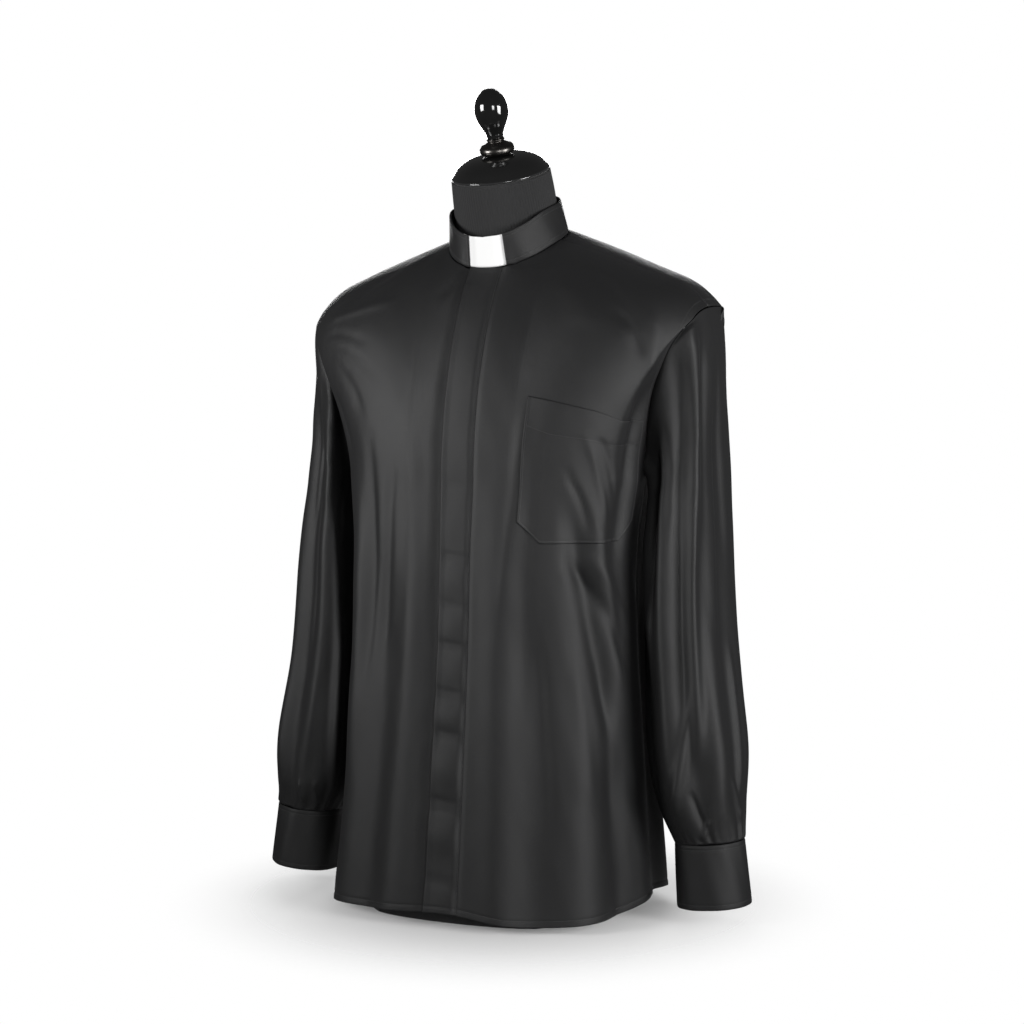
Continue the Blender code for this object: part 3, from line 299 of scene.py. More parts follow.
def creases(rows, across, along, once_round):
    """Each row is a bowed line from start to end. The distance from it goes into a bell that is narrower on
    its steep side, and the height fades towards the ends. across and along are metres on the cloth."""
    total = np.zeros(np.broadcast(across, along).shape)
    for a0, b0, a1, b1, half_width, height, steep, bow in rows:
        step = np.array([a1 - a0, b1 - b0])
        length = math.hypot(*step)
        ahead, aside = step / length, np.array([-step[1], step[0]]) / length
        da = (across - a0 + once_round / 2) % once_round - once_round / 2
        t = (da * ahead[0] + (along - b0) * ahead[1]) / length
        d = da * aside[0] + (along - b0) * aside[1] - 4 * bow * t * (1 - t)
        width = half_width * np.where(d > 0, 1 - 0.6 * steep, 1 + 0.3 * steep) * (0.8 + 0.4 * t)
        total += height * bell(d, width) * fade(t / CREASE_END) * fade((1 - t) / CREASE_END)
    return total


def in_metres(rows, radius, length):
    """A table's rows in metres on the cloth: its angles times the radius, its levels times the length."""
    degree = math.radians(1) * radius
    return [(a * degree, b * length, c * degree, d * length, *rest) for a, b, c, d, *rest in rows]


WAVES = (
    # direction (radians), length, shift
    (0.3, 1.00, 0.0),
    (1.2, 1.31, 1.7),
    (2.1, 0.83, 3.1),
    (2.9, 1.57, 0.6),
    (4.0, 0.71, 4.4),
    (5.2, 1.13, 2.2),
)


def ripple(across, along, length, height, once_round):
    """Six sine waves through space, of unlike length and direction, met on a cylinder: a gentle unevenness
    that closes on itself once round."""
    radius = once_round / (2 * math.pi)
    x, y = radius * np.sin(across / radius), radius * np.cos(across / radius)
    total = 0
    for turn, stretch, shift in WAVES:
        level = 0.55 * math.sin(1.7 * turn)
        flat = math.sqrt(1 - level**2)
        wave = (x * math.cos(turn) * flat + y * math.sin(turn) * flat + along * level) / (length * stretch)
        total = total + np.sin(2 * math.pi * wave + shift)
    return height * total / len(WAVES)


BODY_CREASES_M = in_metres(BODY_CREASES, MEAN_RADIUS, RISE_LENGTH)
ONCE_ROUND = 2 * math.pi * MEAN_RADIUS


def relief(phi, rise):
    """Height of the creases and of the unevenness above the folded body."""
    across, along = np.radians(phi) * MEAN_RADIUS, rise * RISE_LENGTH
    lift = creases(BODY_CREASES_M, across, along, ONCE_ROUND)
    lift = lift + ripple(across, along, 0.062, 0.0007, ONCE_ROUND)
    return lift + ripple(across, along, 0.021, 0.00022, ONCE_ROUND)


def body(phi, rise, out=0.0):
    """The bare surface, moved along its normal by the folds, the creases and a given distance."""
    phi, rise = np.broadcast_arrays(np.asarray(phi, float), np.asarray(rise, float))
    points = bare_body(phi, rise)
    lift = large_folds(phi, points[..., 2]) + relief(phi, rise) + out
    return points + body_normal(phi, rise) * lift[..., None]


print(len(LARGE_FOLDS), "large folds and", len(BODY_CREASES), "creases on the body")

# %% [markdown]
# ## Seam lines
#
# A shirt is cut along its armholes, its neckline and its yoke. On the body's surface each is a line of phi
# and rise. The armhole leaves the side seam at the underarm and swings over the shoulder. The neckline is an
# oval seen from above, so its places are found by solving for phi and rise above each point of the oval.

# %% Armhole and yoke
ARMHOLE_FRONT, ARMHOLE_BACK = 0.370, 0.350
ARMHOLE_TURN, ARMHOLE_POWER = 0.85, 0.80
YOKE_FRONT_RISE = 0.88
YOKE_BACK_CENTRE, YOKE_BACK_SIDE = 0.40, 0.50
STRAIGHT_UNTIL_PHI = 20.0
SEAM_HALF_GAP = 0.00035
SIDE_SEAM_GAP = 0.0008
BACK_COLUMNS = (90.0, 96.0, 103.0, 111.0, 119.0, 127.0, 136.0, 145.0, 154.0, 163.0, 171.5, 180.0)


def armhole_phi(rise, back=False):
    """90 at the underarm, drawn towards the middle by a power of a sine of the rise."""
    turn = np.clip(np.clip(rise, 0, 1) / ARMHOLE_TURN, 0, 1) * math.pi / 2
    share = 1 - (ARMHOLE_BACK if back else ARMHOLE_FRONT) * np.sin(turn) ** ARMHOLE_POWER
    return 180 - 90 * share if back else 90 * share


def towards_armhole(phi, rise, back=False):
    """Bends the columns near the side so that the outermost runs along the armhole."""
    from_middle = 180 - np.abs(phi) if back else np.abs(phi)
    narrow = 90 - (180 - armhole_phi(rise, True) if back else armhole_phi(rise))
    narrow = np.where(rise > 0, narrow, 0)
    room = 90 - STRAIGHT_UNTIL_PHI
    power = np.clip(0.75 * room / np.maximum(narrow, 1), 1.5, 6)
    bent = from_middle - narrow * np.maximum((from_middle - STRAIGHT_UNTIL_PHI) / room, 0) ** power
    return np.sign(phi) * (180 - bent if back else bent)


def yoke_back_rise(phi):
    """The yoke's back seam, a little higher at the armholes than in the middle."""
    share = fade((180 - np.abs(phi)) / 75)
    return YOKE_BACK_CENTRE + (YOKE_BACK_SIDE - YOKE_BACK_CENTRE) * share


def seam_step(phi, rise):
    """Change of rise that moves a point along its column by half of a seam's gap."""
    way = body(phi, rise + 0.004) - body(phi, rise - 0.004)
    return SEAM_HALF_GAP * 0.008 / np.linalg.norm(way, axis=-1)


SIDE_PHI = float(armhole_phi(YOKE_BACK_SIDE, True))
BACK_TOPS = [float(yoke_back_rise(SIDE_PHI if p == 90 else p)) for p in BACK_COLUMNS]

# %% Neckline
NECK_HALF_WIDTH, NECK_FRONT, NECK_BACK, NECK_CENTRE_Y = 0.0685, 0.0675, 0.0485, 0.0205
SOLVER_STEPS = 44


def places_above(x, y):
    """phi and rise of the bare surface over points of the plan, by a damped fixed-point iteration."""
    angles = np.linspace(0, 90, 1200)
    shares = ring_shares(angles)[0]
    front = y < ridge(x)[0]
    rise = np.full(x.shape, 0.8)
    spread = shoulder_spread(shares)[None, :]
    for _ in range(SOLVER_STEPS):
        spread_here = spread * np.sin(rise[:, None] * math.pi / 2) ** SPREAD_POWER
        out = HALF_WIDTH_UNDERARM * shares[None, :] + spread_here
        k = np.clip((out < np.abs(x)[:, None]).sum(axis=1), 1, len(angles) - 1)
        rows = np.arange(len(x))
        low, high = out[rows, k - 1], out[rows, k]
        phi = angles[k - 1] + (angles[k] - angles[k - 1]) * np.clip((np.abs(x) - low) / (high - low), 0, 1)
        wide, deep = ring_shares(phi)
        y_low = ring_depth(np.where(front, deep, -deep), UNDERARM_Z)
        y_ridge = ridge(HALF_WIDTH_UNDERARM * wide + shoulder_spread(wide))[0]
        share = np.clip((y - y_ridge) / (y_low - y_ridge), 0, 1)
        power = 2 / shoulder_shape(wide, front)
        rise = 0.5 * rise + 0.5 * np.arccos(share ** (1 / power)) / (math.pi / 2)
    return np.sign(x + 1e-12) * np.where(front, phi, 180 - phi), rise


def neck_plan(angle):
    """An oval round the neck, deeper in front than behind; 0 in front, 180 behind."""
    a = np.radians(angle)
    depth = np.where(np.cos(a) > 0, NECK_FRONT, NECK_BACK)
    return NECK_HALF_WIDTH * np.sin(a), NECK_CENTRE_Y - depth * np.cos(a)


NECK_ANGLES = np.linspace(0, 180, 361)
NECK_PHI, NECK_RISE = places_above(*neck_plan(NECK_ANGLES))


def fold_over(phi, rise):
    """phi from the nearer middle, and the way over the ridge: below 0 in front and above 0 behind. These two
    are even where a line crosses the ridge, though phi leaps there."""
    return np.where(phi > 90, 180 - phi, phi), np.where(phi > 90, 1 - rise, rise - 1)


def fold_back(fold, way):
    """phi and rise again."""
    return np.where(way > 0, 180 - fold, fold), 1 - np.abs(way)


NECK_FOLD, NECK_WAY = fold_over(NECK_PHI, NECK_RISE)


def neckline(angle):
    """phi and rise of the neckline at an angle round the neck, read from its solved table."""
    size = np.abs(angle)
    phi, rise = fold_back(np.interp(size, NECK_ANGLES, NECK_FOLD), np.interp(size, NECK_ANGLES, NECK_WAY))
    return np.where(angle < 0, -phi, phi), rise


CORNER_ANGLE = float(np.interp(YOKE_FRONT_RISE, NECK_RISE[:160], NECK_ANGLES[:160]))
CORNER_PHI = float(neckline(np.array(CORNER_ANGLE))[0])
print("The yoke meets the neckline", round(CORNER_ANGLE, 1), "degrees round it, at phi", round(CORNER_PHI, 2))

# %% [markdown]
# ## From a grid of points to a piece of cloth
#
# Each panel becomes one mesh: its points as whole arrays, a UV map that holds metres along and across the
# cloth for the weave, and a wall given by Solidify on the inner side.

# %% Mesh builders
CLOTH = 0.0012
COLLAR_CLOTH = 0.0019
TAB_CLOTH = 0.0010
CUFF_CLOTH = 0.0016
LAYER_GAP = 0.0005


def grid_mesh(name, points, closed_across=False, uv=None):
    """Faces (i, j), (i, j+1), (i+1, j+1), (i+1, j) over a grid of points, as one smooth mesh."""
    rows, columns = points.shape[:2]
    index = np.arange(rows * columns).reshape(rows, columns)
    right = np.roll(index, -1, axis=1) if closed_across else index[:, 1:]
    left = index if closed_across else index[:, :-1]
    faces = np.stack([left[:-1], right[:-1], right[1:], left[1:]], axis=-1).reshape(-1, 4)
    mesh = bpy.data.meshes.new(name)
    mesh.from_pydata(points.reshape(-1, 3).tolist(), [], faces.tolist())
    if uv is not None:
        layer = mesh.uv_layers.new(name="cloth")
        corners = uv.reshape(-1, 2)[faces.ravel()]
        if closed_across:
            turn = corners.reshape(-1, 4, 2)
            wrap = turn[:, 1:3, 0] < turn[:, 0:1, 0] - 1e-9
            turn[:, 1:3, 0] += wrap * (uv[..., 0].max() + (uv[0, 1, 0] - uv[0, 0, 0]))
            corners = turn.reshape(-1, 2)
        layer.data.foreach_set("uv", corners.astype(np.float32).ravel())
    mesh.shade_smooth()
    return mesh


def cloth_uv(points):
    """Metres along the rows and up the columns, measured on the grid itself and averaged."""
    across = np.linalg.norm(np.diff(points, axis=1), axis=-1).mean(axis=0)
    up = np.linalg.norm(np.diff(points, axis=0), axis=-1).mean(axis=1)
    u = np.concatenate([[0.0], np.cumsum(across)])
    v = np.concatenate([[0.0], np.cumsum(up)])
    return np.stack(np.broadcast_arrays(u[None, :], v[:, None]), axis=-1)


def place(name, mesh, finish, body_name="root"):
    """Puts a mesh into the scene at the origin, with its finish, riding on the one body."""
    piece = bpy.data.objects.new(name, mesh)
    bpy.context.scene.collection.objects.link(piece)
    mesh.materials.append(finish)
    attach(piece, body_name)
    return piece


def faces_out(points, inside):
    """Whether the grid's faces, in their own order, look away from the inside points."""
    across = points[:, 1:][:-1] - points[:, :-1][:-1]
    up = points[1:, :-1] - points[:-1, :-1]
    normal = np.cross(across, up)
    return float((normal * (points[:-1, :-1] - inside[:-1, :-1])).sum()) > 0


def cloth(name, points, finish, thickness, inside, node=None, closed=False):
    """A sheet of cloth with its outer face on the points and its wall towards the inside."""
    if not faces_out(points, np.broadcast_to(inside, points.shape)):
        points = points[:, ::-1]
    mesh = grid_mesh(name, points, closed, cloth_uv(points))
    piece = place(name, mesh, finish)
    wall = piece.modifiers.new("Wall", "SOLIDIFY")
    wall.thickness = thickness
    wall.offset = -1
    wall.use_even_offset = False
    if node:
        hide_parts(node)
    print(name, points.shape[0], "by", points.shape[1], "points")
    return piece


def area_of(points, closed=False):
    """Area of a grid: half the cross product of each cell's diagonals."""
    ring = np.concatenate([points, points[:, :1]], axis=1) if closed else points
    one = ring[1:, 1:] - ring[:-1, :-1]
    other = ring[1:, :-1] - ring[:-1, 1:]
    return float(np.linalg.norm(np.cross(one, other), axis=-1).sum() / 2)


def spread_of(points):
    """Width and length that the flat cut of a grid needs: the longest row and the longest column."""
    width = np.linalg.norm(np.diff(points, axis=1), axis=-1).sum(axis=1).max()
    length = np.linalg.norm(np.diff(points, axis=0), axis=-1).sum(axis=0).max()
    return float(width), float(length)


# %% [markdown]
# ## Finishes
#
# The shirt is a fine polyester and cotton twill: almost black, with a soft sheen where light grazes it and a
# diagonal rib that can be seen only from near. The rib could be an image, but two wave textures on the
# cloth's own metres repeat at the true pitch on every panel. The tab is smooth white plastic, the neck is
# ribbed jersey, and the cap and finial are lacquered.

# %% Node helpers
def finish_named(name, colour, roughness, **sockets):
    """A Principled material. Values that are the same all over are set on the shader's own sockets."""
    made = bpy.data.materials.new(name)
    made.use_nodes = True
    shader = made.node_tree.nodes["Principled BSDF"]
    shader.inputs["Base Color"].default_value = (*colour, 1)
    shader.inputs["Roughness"].default_value = roughness
    for socket, value in sockets.items():
        shader.inputs[socket.replace("_", " ")].default_value = value
    made.diffuse_color = (*colour, 1)
    return made, made.node_tree, shader


def node(tree, kind, **values):
    """A node of a kind, with values for its properties and, by index or name, for its inputs."""
    made = tree.nodes.new(kind)
    for key, value in values.items():
        if key.startswith("in_"):
            socket = key.removeprefix("in_")
            socket = int(socket) if socket.isdigit() else socket.replace("_", " ")
            made.inputs[socket].default_value = value
        else:
            setattr(made, key, value)
    return made


def bands(tree, direction, scale, **values):
    """A wave texture of parallel bands, which get narrower as its scale grows."""
    return node(
        tree, "ShaderNodeTexWave", wave_type="BANDS", bands_direction=direction, in_Scale=scale, **values
    )


def bump_from(tree, shader, height, strength, distance):
    """Sends a height into the shader's normal."""
    bump = node(tree, "ShaderNodeBump", in_Strength=strength, in_Distance=distance)
    tree.links.new(height, bump.inputs["Height"])
    tree.links.new(bump.outputs["Normal"], shader.inputs["Normal"])


def on_cloth(tree):
    """The cloth's own coordinates, in metres."""
    return node(tree, "ShaderNodeUVMap", uv_map="cloth").outputs["UV"]


def on_object(tree):
    """The object's coordinates, for pieces without a map."""
    return node(tree, "ShaderNodeTexCoord").outputs["Object"]


def values_of(tree, where, *textures):
    """Lays textures on the given coordinates, and gives their values."""
    for texture in textures:
        tree.links.new(where, texture.inputs["Vector"])
    return [texture.outputs["Fac"] for texture in textures]


def times(tree, value, factor, plus=None):
    """value * factor + plus, in one Math node."""
    made = node(tree, "ShaderNodeMath", operation="MULTIPLY" if plus is None else "MULTIPLY_ADD", in_1=factor)
    tree.links.new(value, made.inputs[0])
    if plus is not None:
        tree.links.new(plus, made.inputs[2])
    return made.outputs[0]


def two_tone(tree, shader, share, dark, light):
    """The shader's colour, mixed from two by a share."""
    mix = node(tree, "ShaderNodeMix", data_type="RGBA")
    mix.inputs[6].default_value = (*dark, 1)
    mix.inputs[7].default_value = (*light, 1)
    tree.links.new(share, mix.inputs[0])
    tree.links.new(mix.outputs[2], shader.inputs["Base Color"])


def vary_roughness(tree, shader, value, low, high, first=0.0, last=1.0):
    """The shader's roughness, from low where the value is first to high where it is last."""
    rough = node(tree, "ShaderNodeMapRange", in_1=first, in_2=last, in_3=low, in_4=high)
    tree.links.new(value, rough.inputs[0])
    tree.links.new(rough.outputs[0], shader.inputs["Roughness"])


# %% Twill
TWILL_PITCH, LOOP_PITCH = 0.0011, 0.0016
DARK_YARN, LIGHT_YARN = (0.0056, 0.0056, 0.0058), (0.0160, 0.0160, 0.0165)


def twill(name, dark, light, roughness=0.50, pitch=TWILL_PITCH):
    """Diagonal ribs crossed by finer yarns, with a cloudy variation of the dye and slubs in the yarn."""
    made, tree, shader = finish_named(
        name, light, roughness, Sheen_Weight=0.05, Sheen_Roughness=0.42, Specular_IOR_Level=0.33
    )
    shader.inputs["Sheen Tint"].default_value = (0.62, 0.62, 0.65, 1)
    rib, yarn, slub, cloud = values_of(
        tree,
        on_cloth(tree),
        bands(tree, "DIAGONAL", 1 / pitch / 2, in_Distortion=1.2, in_Detail=1.0),
        bands(tree, "Y", 1 / pitch, in_Distortion=0.6),
        node(tree, "ShaderNodeTexNoise", in_Scale=420.0, in_Detail=3.0, in_Roughness=0.7),
        node(tree, "ShaderNodeTexNoise", in_Scale=14.0, in_Detail=3.0),
    )
    weave = times(tree, rib, 0.62, times(tree, yarn, 0.38))
    tone = times(tree, weave, 0.42, times(tree, slub, 0.55, times(tree, cloud, 0.10)))
    two_tone(tree, shader, tone, dark, light)
    vary_roughness(tree, shader, weave, roughness + 0.06, roughness - 0.06, 0.2, 0.9)
    bump_from(tree, shader, times(tree, slub, 0.35, weave), 0.28, 0.0004)
    return made


black_twill = twill("black_twill", DARK_YARN, LIGHT_YARN)
collar_twill = twill("collar_twill", DARK_YARN, LIGHT_YARN, roughness=0.52)
print("Twill with ribs every", TWILL_PITCH * 1000, "mm")


# %% Thread, tab, buttons and the form's finishes
def thread():
    """Sewing thread: its twist is a fast wave along each stitch."""
    made, tree, shader = finish_named("sewing_thread", (0.016, 0.016, 0.017), 0.55, Sheen_Weight=0.3)
    (twist,) = values_of(tree, on_object(tree), bands(tree, "DIAGONAL", 900.0))
    bump_from(tree, shader, twist, 0.4, 0.0001)
    return made


def white_plastic():
    """The tab: white, slightly glossy, with the faintest orange-peel of moulded sheet."""
    made, tree, shader = finish_named("white_tab_sheet", (0.86, 0.86, 0.855), 0.42, Coat_Weight=0.15)
    waves = node(tree, "ShaderNodeTexNoise", in_Scale=380.0, in_Detail=2.0)
    (peel,) = values_of(tree, on_object(tree), waves)
    bump_from(tree, shader, peel, 0.05, 0.0002)
    vary_roughness(tree, shader, peel, 0.38, 0.50)
    return made


def jersey():
    """Black ribbed jersey: knitted loops along the ribs, on the cloth's own metres."""
    made, tree, shader = finish_named(
        "rib_jersey", (0.010, 0.010, 0.0105), 0.85, Sheen_Weight=0.04, Specular_IOR_Level=0.3
    )
    loops, fuzz = values_of(
        tree,
        on_cloth(tree),
        bands(tree, "Y", 1 / LOOP_PITCH, in_Distortion=2.0, in_Detail=2.0),
        node(tree, "ShaderNodeTexNoise", in_Scale=900.0, in_Detail=3.0),
    )
    knit = times(tree, fuzz, 0.6, loops)
    two_tone(tree, shader, knit, (0.010, 0.010, 0.010), (0.036, 0.036, 0.037))
    bump_from(tree, shader, knit, 0.5, 0.0005)
    return made


def form_cloth():
    """The form's hidden cover, the same jersey on Object coordinates, because its solid has no map."""
    made, tree, shader = finish_named("form_jersey", (0.020, 0.020, 0.021), 0.88, Sheen_Weight=0.3)
    loops = node(tree, "ShaderNodeTexNoise", in_Scale=700.0, in_Detail=3.0)
    (knit,) = values_of(tree, on_object(tree), loops)
    two_tone(tree, shader, knit, (0.010, 0.010, 0.010), (0.030, 0.030, 0.031))
    bump_from(tree, shader, knit, 0.35, 0.0005)
    return made


def lacquer(name, colour, roughness, metallic=0.0, wear=0.06, **sockets):
    """Gloss paint on turned wood: an even coat whose roughness wanders slightly with dust and handling."""
    made, tree, shader = finish_named(name, colour, roughness, Metallic=metallic, **sockets)
    specks = node(tree, "ShaderNodeTexNoise", in_Scale=60.0, in_Detail=6.0, in_Roughness=0.7)
    (dust,) = values_of(tree, on_object(tree), specks)
    vary_roughness(tree, shader, dust, roughness, roughness + wear, 0.35, 0.75)
    bump_from(tree, shader, dust, 0.02, 0.0003)
    return made


sewing_thread = thread()
tab_sheet = white_plastic()
rib_jersey = jersey()
form_jersey = form_cloth()
button_shell = lacquer("button_shell", (0.018, 0.018, 0.019), 0.26, Coat_Weight=0.3)
cap_lacquer = lacquer("cap_lacquer", (0.010, 0.010, 0.010), 0.16, Coat_Weight=0.6, Coat_Roughness=0.08)
rim_lacquer = lacquer("rim_lacquer", (0.035, 0.035, 0.036), 0.12, metallic=0.3, Coat_Weight=1.0)
knob_lacquer = lacquer("knob_lacquer", (0.008, 0.008, 0.008), 0.09, Coat_Weight=0.8, Coat_Roughness=0.05)
dark_metal = lacquer("dark_metal", (0.110, 0.104, 0.098), 0.26, metallic=1.0, wear=0.12)
print(len(bpy.data.materials), "finishes")

# %% [markdown]
# ## The two fronts
#
# Each front is one piece from the placket's edge to the side seam, and from the hem to the neckline and the
# yoke. It could be unwrapped from a real pattern. Here its columns run straight up the body until they bend
# along the armhole, and its rows lie level on the chest, as the weave of a well-cut front does. The left one
# laps over the right, and is pressed down under the fly strip so that the strip lies flush with it.

# %% Rows, columns and the place of a front's point
ROWS_BELOW, ROWS_ABOVE, LEVEL_POWER = 14, 10, 0.91
STRIP_EDGE_X, STRIP_WIDTH = -0.0175, 0.037
UNDERLAP_X, UNDERLAP_DEPTH = 0.0170, 0.0027
HEM_FOLD = 0.0065
STRIP_PRESS = 0.0013


def front_top(phi):
    """Rise at the top of a front's column: on the neckline, and from the yoke's corner on along its seam."""
    ahead = NECK_ANGLES <= CORNER_ANGLE
    on_neck = np.interp(np.abs(phi), NECK_PHI[ahead], NECK_RISE[ahead])
    return np.where(np.abs(phi) < CORNER_PHI, on_neck, YOKE_FRONT_RISE)


def front_place(phi, row):
    """phi and rise for a column (phi at the underarm) and a row (0 hem, 14 underarm, 24 top)."""
    phi, row = np.broadcast_arrays(np.asarray(phi, float), np.asarray(row, float))
    top = front_top(phi)
    top = top - seam_step(towards_armhole(phi, top), top)
    shape = shoulder_shape(np.abs(ring_shares(phi)[0]), True)
    share = np.sin(math.pi / 2 * np.clip((row - ROWS_BELOW) / ROWS_ABOVE, 0, 1)) ** LEVEL_POWER
    height = share * np.sin(math.pi / 2 * top) ** (2 / shape)
    above = np.arcsin(np.minimum(height ** (shape / 2), 1)) / (math.pi / 2)
    rise = np.where(row > ROWS_BELOW, above, row / ROWS_BELOW - 1)
    gap = math.degrees(SIDE_SEAM_GAP / 2 / MEAN_RADIUS) * np.clip(phi / 90, 0, 1) ** 24
    return towards_armhole(phi, rise) - gap, rise


def phi_at_neck(x):
    """phi of the column that meets the neckline at a given x near the middle."""
    return float(neckline(np.degrees(np.arcsin(np.array(x) / NECK_HALF_WIDTH)))[0])


def hem_relief(height_above):
    """The turned-up hem is a little thicker, with a dent along its stitches."""
    thicker = 0.00035 * fade((HEM_FOLD - height_above) / 0.0016)
    return thicker - 0.0004 * bell(height_above - HEM_FOLD, 0.0012)


def height_over_hem(phi, rise):
    """Metres up the cloth from the hem."""
    return (rise + 1) * (UNDERARM_Z - hem_height(phi))


PHI_LEFT_EDGE = phi_at_neck(STRIP_EDGE_X + 0.0008)
PHI_STRIP_END = phi_at_neck(STRIP_EDGE_X + STRIP_WIDTH)
PHI_RIGHT_EDGE = phi_at_neck(-UNDERLAP_X)
HEM_TOP_ROW, SEAM_ROW = 0.34, 23.8
HEM_ROWS = np.linspace(0, HEM_TOP_ROW, 10)[:-1]
FRONT_ROWS = np.concatenate([
    HEM_ROWS, np.linspace(HEM_TOP_ROW, ROWS_BELOW, 118)[:-1],
    np.linspace(ROWS_BELOW, SEAM_ROW, 68)[:-1], [SEAM_ROW, 23.9, 24],
])


def front_columns(first):
    """Columns every 3 mm or so, closer at the edge and the stitches, with one on the yoke's corner."""
    middle = np.linspace(PHI_STRIP_END + 2.0, 88.5, 76)
    strip = np.linspace(first, PHI_STRIP_END + 2.0, 22)[:-1]
    return np.unique(np.round(np.concatenate([strip, middle, [CORNER_PHI, 89.3, 90.0]]), 4))


inside_body = np.array([0.0, -0.01, 0.0])


def inside_of(points):
    """Points well inside the body, level with the given ones or lower at the shoulders."""
    deep = points * np.array([0.5, 0, 1]) + inside_body
    deep[..., 2] = np.minimum(deep[..., 2], 0.60)
    return deep


phi, rise = front_place(front_columns(PHI_LEFT_EDGE)[None, :], FRONT_ROWS[:, None])
strip_x = (phi - PHI_STRIP_END) * math.radians(1) * MEAN_RADIUS
pressed = 1 - fade(strip_x / 0.005)
left_points = body(phi, rise, hem_relief(height_over_hem(phi, rise)) - STRIP_PRESS * pressed)
inside = inside_of(left_points)
front_left = cloth("front_left_cloth", left_points, black_twill, CLOTH, inside, "front_left")

phi, rise = front_place(front_columns(PHI_RIGHT_EDGE)[None, :], FRONT_ROWS[:, None])
bare_x = bare_body(phi, rise)[..., 0]
under = 1 - fade((bare_x - (-STRIP_EDGE_X)) / 0.016)
right_points = body(-phi, rise, hem_relief(height_over_hem(phi, rise)) - UNDERLAP_DEPTH * under)
inside = inside_of(right_points)
front_right = cloth("front_right_cloth", right_points, black_twill, CLOTH, inside, "front_right")

# %% [markdown]
# ## Fly strip
#
# The buttons are hidden under a folded strip as wide as three fingers. It is held by one row of stitches on
# the wearer's left and by the buttons beneath, so it puckers at each button and bulges between them. It is a
# band on the left front's own points, lifted by a row of dents and bulges down its length. Its stitched edge
# sinks into the front, so that only the stitches and a slight fold tell where it ends.

# %% Strip
STRIP_PUCKERS = (
    # rise, half_height (metres), dent, towards_edge
    (0.560, 0.0090, 0.0022, 0.9),
    (-0.010, 0.0080, 0.0008, 0.3),
    (-0.178, 0.0075, 0.0024, 0.4),
    (-0.290, 0.0100, 0.0010, 0.9),
    (-0.385, 0.0085, 0.0021, 0.3),
    (-0.498, 0.0090, 0.0030, 0.5),
    (-0.590, 0.0110, 0.0014, 0.2),
    (-0.752, 0.0110, 0.0034, 0.6),
    (-0.925, 0.0110, 0.0012, 0.4),
)
STRIP_BULGES = (
    # rise, half_height (metres), height
    (0.300, 0.060, 0.0010),
    (-0.100, 0.022, 0.0012),
    (-0.232, 0.016, 0.0014),
    (-0.338, 0.014, 0.0014),
    (-0.440, 0.016, 0.0016),
    (-0.545, 0.013, 0.0024),
    (-0.668, 0.022, 0.0036),
    (-0.820, 0.018, 0.0028),
    (-0.970, 0.020, 0.0014),
)
STRIP_CLOTH = 0.0009
STRIP_OUT = LAYER_GAP + STRIP_CLOTH - STRIP_PRESS


def strip_relief(across, rise):
    """across is 0 at the folded edge and 1 at the stitches. Dents run to the stitches, bulges stay clear."""
    lift = np.zeros(np.broadcast(across, rise).shape)
    slant = 0.004 * across
    for at, half, dent, towards in STRIP_PUCKERS:
        d = (rise - at) * RISE_LENGTH + slant
        reach = towards * (1 - across) + (1 - towards) * fade(across / 0.25)
        before_stitches = 1 - fade((across - 0.93) / 0.07)
        lift = lift - dent * bell(d, half * 0.55) * (0.35 + 0.65 * reach) * before_stitches
    for at, half, height in STRIP_BULGES:
        d = (rise - at) * RISE_LENGTH + slant
        lift = lift + height * bell(d, half) * np.sin(math.pi * np.clip(0.12 + 0.88 * across, 0, 1)) ** 0.8
    return lift


def soft_floor(lift, lowest):
    """Keeps the strip off the cloth under it: below the lowest value it levels out."""
    return np.where(lift < lowest, lowest - 0.15 * 0.001 * np.tanh((lowest - lift) / 0.001), lift)


across = np.concatenate([
    np.linspace(0, 0.06, 4)[:-1], np.linspace(0.06, 0.9, 22)[:-1], np.linspace(0.9, 1, 6)
])
STRIP_ROWS = np.concatenate([
    HEM_ROWS, np.linspace(HEM_TOP_ROW, ROWS_BELOW, 200)[:-1], np.linspace(ROWS_BELOW, 23.93, 90)
])
strip_phi = PHI_LEFT_EDGE - 0.30 + (PHI_STRIP_END + 0.6 - PHI_LEFT_EDGE) * across
phi, rise = front_place(strip_phi[None, :], STRIP_ROWS[:, None])
full = np.broadcast_to(across[None, :], phi.shape)
lift = soft_floor(0.0004 + strip_relief(full, rise), 0.0001)
lift = lift * (1 - fade((full - 0.86) / 0.14)) + 0.0001 + 0.0008 * (1 - fade(full / 0.22))
edge_round = 0.0006 * (1 - fade(full / 0.04))
sunk = 0.0019 * fade((full - 0.80) / 0.20)
strip_out = STRIP_OUT + 0.0005 + lift - edge_round - sunk + hem_relief(height_over_hem(phi, rise))
strip_points = body(phi, rise, strip_out)
strip = cloth("placket_strip", strip_points, black_twill, STRIP_CLOTH, inside_of(strip_points), "placket")

# %% [markdown]
# ## Chest pocket
#
# A patch with two cut lower corners, turned under and stitched close to its edge. Its grid follows its
# outline: the bottom row rises at both corners, and the rows above share out what is left.

# %% Pocket
POCKET_PHI = (24.0, 79.0)
POCKET_ROWS = (12.0, 16.0)
POCKET_CUT_ACROSS, POCKET_CUT_UP = 0.155, 0.17
POCKET_HEM = 0.22
POCKET_WIDE, POCKET_TALL = 0.135, 0.13


def pocket_floor(u):
    """Share of the height where the pocket begins: 0 in the middle, up to the cut at both corners."""
    return POCKET_CUT_UP * np.maximum(1 - np.minimum(u, 1 - u) / POCKET_CUT_ACROSS, 0)


